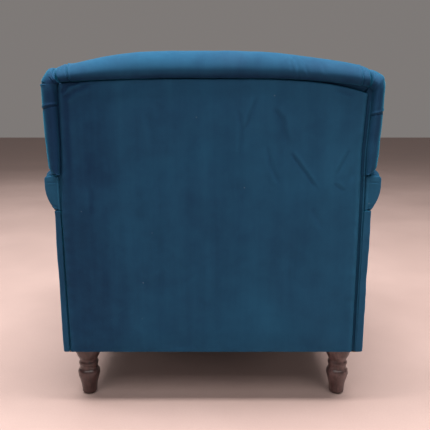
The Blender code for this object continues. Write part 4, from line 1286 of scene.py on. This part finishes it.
def leg_profile():
    """(radius, height) down a turned leg: neck, bead, collar, vase and foot."""
    knots = np.array([
        (0.0370, 0.1478), (0.0368, 0.1400), (0.0352, 0.1290), (0.0318, 0.1180), (0.0280, 0.1105),
        (0.0255, 0.1058), (0.0248, 0.1030), (0.0252, 0.1005), (0.0262, 0.0990), (0.0272, 0.0965),
        (0.0276, 0.0935), (0.0271, 0.0905), (0.0260, 0.0880), (0.0253, 0.0868), (0.0252, 0.0845),
        (0.0254, 0.0800), (0.0262, 0.0770), (0.0282, 0.0745), (0.0300, 0.0715), (0.0309, 0.0680),
        (0.0311, 0.0640), (0.0305, 0.0585), (0.0287, 0.0510), (0.0262, 0.0430), (0.0240, 0.0340),
        (0.0223, 0.0250), (0.0214, 0.0170), (0.0211, 0.0110), (0.0210, 0.0066), (0.0204, 0.0048),
        (0.0186, 0.0043),
    ])
    steps = np.linalg.norm(np.diff(knots, axis=0), axis=1)
    along = np.r_[0, np.cumsum(steps)]
    fine = np.linspace(0, along[-1], 150)
    profile = np.column_stack([np.interp(fine, along, knots[:, k]) for k in (0, 1)])
    for _ in range(2):
        profile[1:-1] = 0.25 * profile[:-2] + 0.5 * profile[1:-1] + 0.25 * profile[2:]
    return profile


def make_legs():
    profile = leg_profile()
    angles = np.linspace(0, 2 * math.pi, 72, endpoint=False)
    for node in ("leg_front_left", "leg_front_right", "leg_back_left", "leg_back_right"):
        low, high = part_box(node)
        x, y = (low.x + high.x) / 2, (low.y + high.y) / 2
        rows = [np.column_stack([x + r * np.cos(angles), y + r * np.sin(angles), np.full(len(angles), z)])
                for r, z in profile]
        surface = dusty_walnut if node == "leg_back_right" else walnut
        piece = skin(f"turned_{node}", rows, surface, ((x, y, profile[0][1]), (x, y, profile[-1][1])))
        piece.data.set_sharp_from_angle(angle=math.radians(50))
        finish_piece(piece, (node,), slot="dark_wood")


def paint_kept_nodes():
    """Procedural materials for the CAD nodes that stay."""
    by_slot = {"frame_wood": beech, "steel": steel, "nylon": nylon, "webbing": webbing, "lining": lining,
               "foam": foam, "velvet": velvet, "dark_wood": walnut}
    for entry in frame["record"]["subparts"]:
        mesh = frame["nodes"][entry["node"]].data
        for index in range(len(mesh.materials)):
            mesh.materials[index] = by_slot[entry["material_slot"]]


make_studio()
paint_kept_nodes()
make_back()
make_outside_back()
for side_name, side_sign in SIDES.items():
    make_arm(side_name, side_sign)
    make_arm_end(side_name, side_sign)
    make_outside_arm(side_name, side_sign)
    make_back_laps(side_name, side_sign)
    make_facing(side_name, side_sign)
make_zip(make_cushion())
make_deck_and_border()
make_dust_cover()
make_legs()
